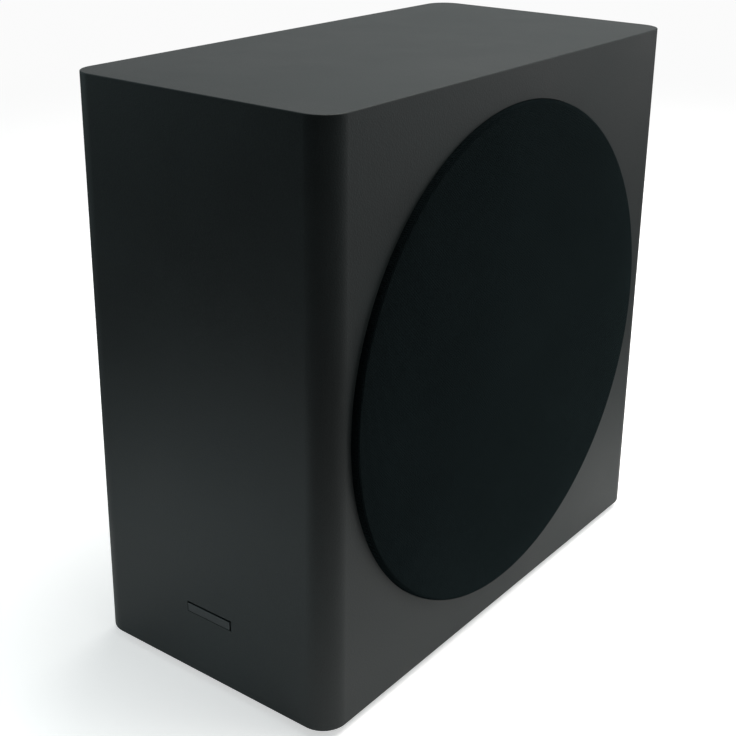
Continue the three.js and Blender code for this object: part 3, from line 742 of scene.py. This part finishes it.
woofer = {
    "steps": 96,
    "coneWall": 0.0008,
    "coneNeck": 0.0194,
    "coneSag": 0.0022,
    "rollWall": 0.0006,
    "rollInner": 0.0734,
    "rollOuter": 0.0886,
    "gasketInner": 0.0953,
    "domeWall": 0.0008,
    "rollFlats": ((0.0688, 0.0712), (0.0915, 0.0949)),
    "spiderWaves": 5,
    "spiderInner": 0.0194,
    "spiderOuter": 0.058,
    "spiderRim": (0.0592, 0.0654),
    "spiderNeck": 0.022,
    "spiderWall": 0.0007,
    "chamfer": 0.0006,
}


def radiusOf(node):
    low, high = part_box(node)
    return (high.z - low.z) / 2


def chamferedRing(inner, outer, back, front, size):
    return [
        (inner, back + size),
        (inner + size, back),
        (outer - size, back),
        (outer, back + size),
        (outer, front - size),
        (outer - size, front),
        (inner + size, front),
        (inner, front - size),
    ]


def wall(line, thickness):
    # closes a line of (radius, place) points into a wall that lies behind it
    behind = []
    for index, point in enumerate(line):
        before, after = line[max(index - 1, 0)], line[min(index + 1, len(line) - 1)]
        run, rise = after[0] - before[0], after[1] - before[1]
        length = math.hypot(run, rise)
        behind.append((point[0] + rise / length * thickness, point[1] - run / length * thickness))
    return line + behind[::-1]


def weighFromRim(piece, inner, outer):
    # the share that follows the cabinet grows from the moving inner rim to the fixed outer rim
    weights = piece.data.attributes["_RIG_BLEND"].data
    for vertex in piece.data.vertices:
        radius = math.hypot(vertex.co.y - wooferCentre.y, vertex.co.z - wooferCentre.z)
        share = min(max((outer - radius) / (outer - inner), 0), 1)
        weights[vertex.index].value = share * share * (3 - 2 * share)


def makeCone():
    low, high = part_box("cone")
    radius = radiusOf("cone")
    apex = (woofer["coneNeck"], low.x + woofer["coneWall"] + 0.0002)
    rim = (radius, high.x)
    line = []
    for step in range(19):
        share = step / 18
        sag = woofer["coneSag"] * math.sin(share * math.pi)
        line.append((apex[0] + (rim[0] - apex[0]) * share + sag * 0.5, apex[1] + (rim[1] - apex[1]) * share - sag))
    cone = turnedPiece("paperCone", wall(line, woofer["coneWall"]), "x", wooferCentre, woofer["steps"])
    smooth(cone, 50)
    return deliver(cone, "cone_assembly", finishes["conePaper"], "cone_paper", "cone")


def makeDustCap():
    low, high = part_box("dust_cap")
    radius, rise = radiusOf("dust_cap"), high.x - low.x
    line = []
    for step in range(13):
        share = step / 12
        line.append((radius * share, high.x - rise * share**2 * 0.98))
    thick = woofer["domeWall"]
    outline = line + [(radius - thick, low.x)] + [(r * 0.97, x - thick) for r, x in line[-2::-1]]
    cap = turnedPiece("dustCap", outline, "x", wooferCentre, woofer["steps"], closed=False)
    smooth(cap, 50)
    return deliver(cap, "cone_assembly", finishes["conePaper"], "cone_paper", "dust_cap")


def makeSurround():
    low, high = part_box("surround")
    inner, outer, thick = woofer["rollInner"], woofer["rollOuter"], woofer["rollWall"]
    lip = low.x + thick
    middle, half = (inner + outer) / 2, (outer - inner) / 2
    rise = high.x - lip
    roll = []
    for step in range(21):
        turn = math.pi * step / 20
        roll.append((middle - half * math.cos(turn), lip + rise * math.sin(turn)))
    (flatIn, bendIn), (bendOut, flatOut) = woofer["rollFlats"]
    line = [(flatIn, lip), (bendIn, lip)] + roll + [(bendOut, lip), (flatOut, lip)]
    surround = turnedPiece("rollSurround", wall(line, thick), "x", wooferCentre, woofer["steps"])
    smooth(surround, 40)
    deliver(surround, None, finishes["blackRubber"], "black_rubber", "surround")
    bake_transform(surround, "cabinet", "cone_assembly", start=(low.x, wooferCentre.y, 0), end=(high.x, wooferCentre.y, 0))
    weighFromRim(surround, inner, outer)
    return surround


def makeSpider():
    low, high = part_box("spider")
    inner, outer, waves = woofer["spiderInner"], woofer["spiderOuter"], woofer["spiderWaves"]
    half = (high.x - low.x - woofer["spiderWall"]) / 2
    middle = low.x + woofer["spiderWall"] + half
    line = [(inner, middle)]
    for step in range(1, waves * 8):
        share = step / (waves * 8)
        line.append((inner + (outer - inner) * share, middle + half * math.sin(share * waves * 2 * math.pi)))
    line += [(outer, middle)] + [(radius, low.x + woofer["spiderWall"]) for radius in woofer["spiderRim"]]
    spider = turnedPiece("waveSpider", wall(line, woofer["spiderWall"]), "x", wooferCentre, 64)
    smooth(spider, 50)
    deliver(spider, None, finishes["spiderCloth"], "spider_cloth", "spider")
    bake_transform(spider, "cabinet", "cone_assembly", start=(low.x, wooferCentre.y, 0), end=(high.x, wooferCentre.y, 0))
    weighFromRim(spider, woofer["spiderNeck"], outer)
    return spider


def makeGasket():
    low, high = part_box("flange_gasket")
    outline = chamferedRing(woofer["gasketInner"], radiusOf("flange_gasket"), low.x, high.x, woofer["chamfer"])
    gasket = turnedPiece("flangeGasket", outline, "x", wooferCentre, woofer["steps"])
    for index in range(6):
        middle = middleOf(f"driver_screw_{index + 1}")
        cutWith(gasket, roundBar("hole", "x", low.x - 0.001, high.x + 0.001, 0.0023, middle, 16))
    smooth(gasket)
    return deliver(gasket, "cabinet", finishes["blackRubber"], "black_rubber", "flange_gasket")


def makeMotor():
    # magnet, plates, former and winding, all turned round the pole
    parts = {
        "magnetRing": ("magnet_ring", 0.028, "ferrite", "ferrite", "cabinet"),
        "topPlate": ("top_plate", 0.021, "bareSteel", "bare_steel", "cabinet"),
        "coilFormer": ("coil_former", 0.0186, "formerPaper", "former_paper", "cone_assembly"),
        "coilWinding": ("coil_winding", 0.0193, "copperWire", "copper_wire", "cone_assembly"),
    }
    for name, (node, inner, finishName, slotName, body) in parts.items():
        low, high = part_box(node)
        outer = radiusOf(node)
        size = min(woofer["chamfer"], (outer - inner) * 0.2)
        piece = turnedPiece(name, chamferedRing(inner, outer, low.x, high.x, size), "x", wooferCentre, 64)
        smooth(piece)
        deliver(piece, body, finishes[finishName], slotName, node)


def makeScrew(name, axis, low, high, radius, headRadius, headHeight):
    # a pan head with a cross recess on a plain shank with a point; the head looks towards high
    middle = (low + high) / 2
    index = "xyz".index(axis)
    start, stop = low[index], high[index]
    shoulder = stop - headHeight
    outline = [(0, start), (radius * 0.3, start + radius * 0.5), (radius, start + radius * 1.8), (radius, shoulder)]
    outline += [(headRadius, shoulder), (headRadius, shoulder + headHeight * 0.35)]
    outline += [(headRadius * 0.94, shoulder + headHeight * 0.62), (headRadius * 0.78, shoulder + headHeight * 0.86)]
    outline += [(headRadius * 0.5, stop), (0, stop)]
    screw = turnedPiece(name, outline, axis, middle, 32, closed=False)
    arm, slot = headRadius * 0.52, headRadius * 0.13
    for reachSide, reachUp in ((arm, slot), (slot, arm)):
        sizes = [reachSide, reachUp]
        lowCorner, highCorner = Vector(middle), Vector(middle)
        for other in range(3):
            if other == index:
                lowCorner[other], highCorner[other] = stop - headHeight * 0.6, stop + headHeight
            else:
                reach = sizes.pop()
                lowCorner[other], highCorner[other] = middle[other] - reach, middle[other] + reach
        cutWith(screw, boxPiece("slotCut", lowCorner, highCorner))
    smooth(screw, 30)
    return screw


def makeScrews(prefix, node, count, axis, radius, headRadius, headHeight):
    low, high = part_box(f"{node}_1")
    first = makeScrew(f"{prefix}1", axis, low, high, radius, headRadius, headHeight)
    for index in range(2, count + 1):
        copied = copyPiece(first, f"{prefix}{index}", middleOf(f"{node}_{index}") - (low + high) / 2)
        deliver(copied, "cabinet", finishes["screwSteel"], "screw_steel", f"{node}_{index}")
    deliver(first, "cabinet", finishes["screwSteel"], "screw_steel", f"{node}_1")


makeCone()
makeDustCap()
makeSurround()
makeSpider()
makeGasket()
makeMotor()
makeScrews("driverScrew", "driver_screw", 6, "x", 0.002, 0.0038, 0.0023)
say("woofer is in")

# Port

port = {"radius": 0.03, "wall": 0.003, "mouth": 0.042, "throat": 0.0174, "collar": 0.0314}


def makePort():
    low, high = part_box("port_flare")
    middle, front, rim = (low + high) / 2, high.y, (high.x - low.x) / 2
    seat = front - 0.0023
    throat = front - port["throat"]
    flare = []
    for step in range(17):
        turn = math.pi / 2 * step / 16
        flare.append(
            (
                port["mouth"] - (port["mouth"] - port["radius"]) * math.cos(turn),
                throat + (front - throat) * math.sin(turn),
            )
        )
    outer = port["radius"] + port["wall"]
    outline = flare + [(rim - 0.0009, front), (rim - 0.0003, front - 0.0003), (rim, front - 0.0009), (rim, seat)]
    outline += [(port["mouth"] - 0.0008, seat), (0.038, seat - 0.003), (outer + 0.0015, seat - 0.009)]
    outline += [(outer, throat), (outer, low.y), (port["radius"], low.y)]
    flarePiece = turnedPiece("portFlare", outline, "y", middle, 96)
    smooth(flarePiece, 40)
    deliver(flarePiece, "cabinet", finishes["mouldedBlack"], "black_plastic", "port_flare")
    tubeLow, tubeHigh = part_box("port_tube")
    tubeOuter = (tubeHigh.x - tubeLow.x) / 2
    ring = chamferedRing(outer + 0.0003, tubeOuter, tubeLow.y, tubeHigh.y, 0.0006)
    tube = turnedPiece("portTube", ring, "y", middle, 72)
    smooth(tube)
    deliver(tube, "cabinet", finishes["mouldedBlack"], "black_plastic", "port_tube")


makePort()
say("port is in")

# Amplifier, on the rear face

amplifier = {
    "plateCorner": 0.005,
    "plateEdge": 0.0004,
    "thickness": 0.0016,
    "inletFlange": 0.0019,
    "inletCorner": 0.003,
    "inletEdge": 0.0006,
    "labelEdge": 0.0001,
    "socket": (0.017, 0.0094),
    "socketFloor": 0.0144,
    "buttonDish": 0.0005,
}


def makeAmplifierPlate():
    low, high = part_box("amplifier_plate")
    back = high.y - amplifier["thickness"]
    plate = roundedBlock("amplifierPlate", (low.x, back, low.z), high, amplifier["plateCorner"], 8, "y")
    bevelEdges(plate, onPlane("y", high.y), amplifier["plateEdge"], 3)
    inletLow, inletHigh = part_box("mains_inlet")
    inletMiddle = (inletLow + inletHigh) / 2
    past = 0.001
    tools = [
        boxPiece(
            "inletCut",
            (inletMiddle.x - 0.0113, back - past, inletMiddle.z - 0.0083),
            (inletMiddle.x + 0.0113, high.y + past, inletMiddle.z + 0.0083),
        )
    ]
    for node, radius in (("pairing_button", 0.0033), ("link_lens", 0.0019), ("standby_lens", 0.0019)):
        tools.append(roundBar("hole", "y", back - past, high.y + past, radius, middleOf(node), 48))
    for index in range(6):
        centre = middleOf(f"plate_screw_{index + 1}")
        tools.append(roundBar("hole", "y", back - past, high.y + past, 0.0019, centre, 24))
    cutWith(plate, *tools)
    middle = (low + high) / 2
    for side in (-1, 1):
        for end in (-1, 1):
            centre = (middle.x + side * 0.044, 0, middle.z + end * 0.062)
            joinWith(plate, roundBar("pillar", "y", low.y, back + 0.0005, 0.003, centre, 24))
    smooth(plate)
    return deliver(plate, "cabinet", finishes["platePaint"], "plate_paint", "amplifier_plate")


def makeInlet():
    low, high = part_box("mains_inlet")
    middle = (low + high) / 2
    flangeBack = high.y - amplifier["inletFlange"] + 0.0004
    inlet = roundedBlock("mainsInlet", (low.x, flangeBack, low.z), high, amplifier["inletCorner"], 8, "y")
    bevelEdges(inlet, onPlane("y", high.y), amplifier["inletEdge"], 3)
    body = boxPiece(
        "inletBody",
        (middle.x - 0.011, low.y, middle.z - 0.008),
        (middle.x + 0.011, flangeBack + 0.0004, middle.z + 0.008),
    )
    joinWith(inlet, body)
    socketWidth, socketHeight = amplifier["socket"]
    floor = high.y - amplifier["socketFloor"]
    for side in (-1, 1):
        centre = (middle.x + side * (socketWidth - socketHeight) / 2, 0, middle.z)
        cutWith(inlet, roundBar("well", "y", floor, high.y + 0.001, socketHeight / 2, centre, 48))
    waist = socketHeight * 0.36
    cutWith(
        inlet,
        boxPiece(
            "waist",
            (middle.x - 0.003, floor, middle.z - waist),
            (middle.x + 0.003, high.y + 0.001, middle.z + waist),
        ),
    )
    smooth(inlet)
    deliver(inlet, "cabinet", finishes["mouldedBlack"], "black_plastic", "mains_inlet")
    for side in ("left", "right"):
        pinLow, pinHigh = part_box(f"inlet_pin_{side}")
        radius = (pinHigh.x - pinLow.x) / 2
        outline = [(0, pinLow.y), (radius, pinLow.y), (radius, pinHigh.y - radius)]
        outline += arc((0, pinHigh.y - radius), radius, 0, 90, 6)[1:]
        pin = turnedPiece("inletPin" + side.title(), outline, "y", (pinLow + pinHigh) / 2, 24, closed=False)
        smooth(pin, 40)
        deliver(pin, "cabinet", finishes["pinNickel"], "terminal_brass", f"inlet_pin_{side}")


def makeButton():
    low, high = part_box("pairing_button")
    middle = (low + high) / 2
    flange = (high.x - low.x) / 2
    cap, dish = 0.003, amplifier["buttonDish"]
    shoulder = high.y - 0.003
    outline = [(0, low.y), (0.002, low.y), (0.002, shoulder - 0.0012), (flange, shoulder - 0.0012), (flange, shoulder)]
    outline += [(cap, shoulder), (cap, high.y - 0.0005), (cap - 0.0002, high.y - 0.0001), (cap - 0.0005, high.y)]
    outline += [(cap - 0.001, high.y - dish * 0.5), (cap - 0.002, high.y - dish), (0, high.y - dish)]
    button = turnedPiece("pairingButton", outline, "y", middle, 48, closed=False)
    smooth(button, 40)
    deliver(button, "pairing_button", finishes["mouldedBlack"], "black_plastic", "pairing_button")


def makeLenses():
    for use in ("link", "standby"):
        low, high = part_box(f"{use}_lens")
        radius = (high.x - low.x) / 2
        outline = [(0, low.y), (radius - 0.0002, low.y), (radius, low.y + 0.0002), (radius, high.y - 0.0005)]
        outline += [(radius * 0.85, high.y - 0.0002), (radius * 0.5, high.y), (0, high.y)]
        lens = turnedPiece(use + "Lens", outline, "y", (low + high) / 2, 32, closed=False)
        smooth(lens, 50)
        deliver(lens, "cabinet", finishes["lensPlastic"], "lens_plastic", f"{use}_lens")


def makeLabel():
    low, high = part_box("blank_label")
    label = roundedBlock("blankLabel", low, high, 0.0015, 6, "y")
    bevelEdges(label, onPlane("y", high.y), amplifier["labelEdge"], 2)
    smooth(label)
    return deliver(label, "cabinet", finishes["labelFilm"], "label_film", "blank_label")


makeAmplifierPlate()
makeInlet()
makeButton()
makeLenses()
makeLabel()
makeScrews("plateScrew", "plate_screw", 6, "y", 0.0016, 0.0032, 0.0015)
say("amplifier is in")

# Inside: the wadding on the plain side, and the lead to the woofer

wadding = {
    "bulk": 0.0105, "swell": 0.0016, "steps": (24, 34),
    "softEdge": 0.012, "staple": 0.0065, "stapleReach": 0.016,
}
lead = {
    "length": 0.178, "core": 0.0013, "apart": 0.00125, "width": 0.0051,
    "sides": 5, "steps": 12, "socketX": 0.0247,
}
leadRoute = [  # from the woofer's terminals down and back to the circuit's socket
    (0.031, -0.0040, 0.1328),
    (0.031, -0.0020, 0.1180),
    (0.030, 0.0240, 0.1040),
    (0.028, 0.0700, 0.1000),
    (0.026, 0.1200, 0.1100),
]


def makeWadding():
    low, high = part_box("damping_felt")
    piece = boxPiece("boardWadding", low, (low.x + wadding["bulk"], high.y, high.z))
    acrossSteps, upSteps = wadding["steps"]
    for axis, count in (("y", acrossSteps), ("z", upSteps)):
        index = "xyz".index(axis)
        for step in range(1, count):
            pick(piece, "VERT", lambda vertex: True)
            place = Vector((0, 0, 0))
            place[index] = low[index] + (high[index] - low[index]) * step / count
            bpy.ops.mesh.bisect(plane_co=place, plane_no=axes[axis])
            bpy.ops.object.mode_set(mode="OBJECT")
    staples = [(y, z) for y in (0.12, 0.5, 0.88) for z in (0.08, 0.5, 0.92)]
    span = high - low
    for vertex in piece.data.vertices:
        if vertex.co.x < low.x + wadding["bulk"] * 0.5:
            continue  # the back lies flat on the board
        y, z = vertex.co.y, vertex.co.z
        edge = min(y - low.y, high.y - y, z - low.z, high.z - z)
        waves = math.sin(y * 61 + 1.3) * math.sin(z * 47 + 0.4) + 0.6 * math.sin(y * 133 + z * 97)
        sink = wadding["softEdge"] * 0.5 * max(0, 1 - edge / wadding["softEdge"]) ** 2
        for across, up in staples:
            away = math.hypot(y - low.y - span.y * across, z - low.z - span.z * up)
            sink = max(sink, wadding["staple"] * math.exp(-((away / wadding["stapleReach"]) ** 2)))
        vertex.co.x += wadding["swell"] * 0.6 * waves - sink
    applyModifier(piece, "SUBSURF", levels=1, render_levels=1)
    smooth(piece, 60, weighted=False)
    deliver(piece, "cabinet", finishes["dampingFelt"], "damping_felt", "damping_felt")


def makeLeadCore(name, route, offset):
    focus()
    bpy.ops.curve.primitive_bezier_curve_add()
    core = named(name)
    bpy.ops.object.mode_set(mode="OBJECT")
    core.location = (0, 0, 0)
    curve = core.data
    curve.splines.clear()
    spline = curve.splines.new("BEZIER")
    spline.bezier_points.add(len(route) - 1)
    for point, place in zip(spline.bezier_points, route):
        point.co = place
        point.handle_left_type = point.handle_right_type = "AUTO"
    curve.dimensions, curve.resolution_u = "3D", lead["steps"]
    focus(core)
    bpy.ops.object.duplicate()
    traced = bpy.context.object
    bpy.ops.object.convert(target="MESH")
    line = [vertex.co.copy() for vertex in traced.data.vertices]
    bpy.data.objects.remove(traced)
    curve.bevel_depth, curve.bevel_resolution, curve.use_fill_caps = lead["core"], lead["sides"], True
    focus(core)
    bpy.ops.object.convert(target="MESH")
    core = bpy.context.object
    core.location = (offset, 0, 0)
    settle(core)
    return core, line


def makeTwinLead():
    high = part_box("twin_lead")[1]
    route = leadRoute + [(lead["socketX"], high.y - 0.012, 0.119), (lead["socketX"], high.y, 0.12)]
    piece, line = makeLeadCore("twinLead", route, -lead["apart"])
    joinWith(piece, makeLeadCore("leadCore", route, lead["apart"])[0])
    smooth(piece, 60, weighted=False)
    deliver(piece, "cabinet", finishes["leadPlastic"], "black_plastic", "twin_lead")


makeWadding()
makeTwinLead()
say("wadding and lead are in")

# Studio

studio = {
    "eye": (0.5321, -0.7331, 0.5575),
    "azimuth": 37.21,
    "elevation": 20.44,
    "roll": 0.65,
    "lens": 64.85,
    "shiftUp": -0.0951,
    "air": 0.08,
    "airTint": (0.72, 0.95, 1.0),
    "glow": 0.55,
    "airSeen": 0.96,
    "fade": (0.7, 2.2),
    # the pool keys shape the painted pool of light, painted shade and painted glow that only bounce rays see on the
    # floor
    "poolCentre": (0.0, 0.0, 0.0),
    "poolHalf": (0.105, 0.2015, 1.0),
    "poolReach": (0.08, 0.4),
    "paintedPoolTone": (0.95, 0.16),
    "paintedPoolGlow": (0.02, 0.16, 0.11),
}
lamps = {
    "overheadBox": {
        "size": (1.6, 1.6), "power": 46, "place": (0.4, 0.6, 1.9), "aim": (0.2, 0.4, 0), "tint": (1, 0.985, 0.955),
    },
    "rearBox": {"size": (1.8, 0.9), "power": 3.1, "place": (-1.1, 1.5, 0.95), "aim": (0, 0, 0.35)},
    "rightBox": {"size": (0.6, 0.7), "power": 3.15, "place": (0.75, 0.98, 0.5), "aim": (0.1, 0, 0.2)},
    "lowStrip": {
        "size": (0.3, 0.1), "power": 0.125, "place": (-0.12, -0.4, 0.02), "aim": (-0.12, -0.2, 0.02),
        "tint": (0.85, 0.98, 1.0),
    },
    "leftBox": {
        "size": (0.7, 0.9), "power": 2.0, "place": (-1.0, -0.58, 0.6), "aim": (0, -0.2, 0.2), "tint": (0.75, 0.97, 1.0),
    },
}


def placeCamera():
    focus()
    bpy.ops.object.camera_add(location=studio["eye"])
    camera = bpy.context.object
    camera.name = "studioCamera"
    turn, tilt = math.radians(studio["azimuth"]), math.radians(studio["elevation"])
    back = Vector((math.sin(turn) * math.cos(tilt), -math.cos(turn) * math.cos(tilt), math.sin(tilt)))
    aim = (-back).to_track_quat("-Z", "Y").to_euler().to_matrix()
    camera.rotation_euler = aim.to_euler()
    camera.rotation_mode = "XYZ"
    bpy.context.view_layer.update()
    camera.rotation_euler.rotate_axis("Z", math.radians(studio["roll"]))
    camera.data.lens = studio["lens"]
    camera.data.sensor_width = 36
    camera.data.shift_y = studio["shiftUp"]
    camera.data.clip_start = 0.05
    bpy.context.scene.camera = camera


def softLight(name, size, power, place, aim, tint=(1, 1, 1)):
    focus()
    bpy.ops.object.light_add(type="AREA", location=place)
    lamp = bpy.context.object
    lamp.name = name
    lamp.data.shape = "RECTANGLE"
    lamp.data.size, lamp.data.size_y = size
    lamp.data.energy = power
    lamp.data.color = tint
    lamp.visible_camera = False
    lamp.rotation_euler = (Vector(aim) - Vector(place)).to_track_quat("-Z", "Y").to_euler()


def makeFloor():
    # seen as an even pale sweep; to every other ray the floor shows painted light: a bright painted pool round the base
    # that falls to painted shade further out, and a painted glow near the base
    focus()
    bpy.ops.mesh.primitive_plane_add(size=16, location=(0, 0, 0))
    floor = named("studioFloor")
    material = bpy.data.materials.new("paleFloor")
    material.use_nodes = True
    tree = material.node_tree
    shader = tree.nodes["Principled BSDF"]
    spot = tree.nodes.new("ShaderNodeTexCoord").outputs["Object"]
    soft = addNode(tree, "TexNoise", {"Vector": spot, "Scale": 1.5, "Detail": 2.0}).outputs[0]
    pale = addNode(tree, "Mix", {0: soft, 6: (0.86, 0.86, 0.86, 1), 7: (0.9, 0.9, 0.9, 1)}, data_type="RGBA")
    reach = addNode(tree, "VectorMath", {0: spot}, operation="LENGTH").outputs["Value"]
    fade = stretch(tree, reach, *studio["fade"])
    pale = addNode(tree, "Mix", {0: fade, 6: pale.outputs[2], 7: (0, 0, 0, 1)}, data_type="RGBA")
    aside = addNode(tree, "VectorMath", {0: spot, 1: studio["poolCentre"]}, operation="SUBTRACT").outputs[0]
    aside = addNode(tree, "VectorMath", {0: aside}, operation="ABSOLUTE").outputs[0]
    past = addNode(tree, "VectorMath", {0: aside, 1: studio["poolHalf"]}, operation="SUBTRACT").outputs[0]
    past = addNode(tree, "VectorMath", {0: past, 1: (0, 0, 0)}, operation="MAXIMUM").outputs[0]
    pool = addNode(tree, "VectorMath", {0: past}, operation="LENGTH").outputs["Value"]
    # painted light for bounce rays: the floor colour is a bright painted pool round the base, falling to painted shade
    # further out
    near, far = studio["paintedPoolTone"]
    tone = stretch(tree, pool, *studio["poolReach"], near, far)
    shade = addNode(tree, "CombineColor", {"Red": tone, "Green": tone, "Blue": tone})
    seen = tree.nodes.new("ShaderNodeLightPath").outputs["Is Camera Ray"]
    colour = addNode(tree, "Mix", {0: seen, 6: shade.outputs[0], 7: pale.outputs[2]}, data_type="RGBA")
    tree.links.new(colour.outputs[2], shader.inputs["Base Color"])
    glow = addNode(tree, "Mix", {0: fade, 2: studio["glow"], 3: studio["airSeen"]}, data_type="FLOAT").outputs[0]
    # painted glow round the base, an emission that only bounce rays see
    near, far, lift = studio["paintedPoolGlow"]
    paintedGlow = stretch(tree, pool, near, far, lift, 0.0)
    glow = addNode(tree, "Mix", {0: seen, 2: paintedGlow, 3: glow}, data_type="FLOAT").outputs[0]
    shader.inputs["Emission Color"].default_value = (1, 1, 1, 1)
    tree.links.new(glow, shader.inputs["Emission Strength"])
    shader.inputs["Roughness"].default_value = 0.9
    shader.inputs["Specular IOR Level"].default_value = 0.1
    floor.data.materials.append(material)


def lightStudio():
    world = bpy.data.worlds.new("studioAir")
    bpy.context.scene.world = world
    world.use_nodes = True
    tree = world.node_tree
    sky = tree.nodes["Background"]
    seen = tree.nodes.new("ShaderNodeLightPath").outputs["Is Camera Ray"]
    strength = addNode(tree, "Mix", {0: seen, 2: studio["air"], 3: studio["airSeen"]}, data_type="FLOAT").outputs[0]
    tint = addNode(tree, "Mix", {0: seen, 6: (*studio["airTint"], 1), 7: (1, 1, 1, 1)}, data_type="RGBA").outputs[2]
    tree.links.new(strength, sky.inputs["Strength"])
    tree.links.new(tint, sky.inputs["Color"])
    for name, lamp in lamps.items():
        softLight(name, **lamp)


placeCamera()
makeFloor()
lightStudio()
bpy.context.scene.view_settings.view_transform = "Standard"
say("studio is lit")
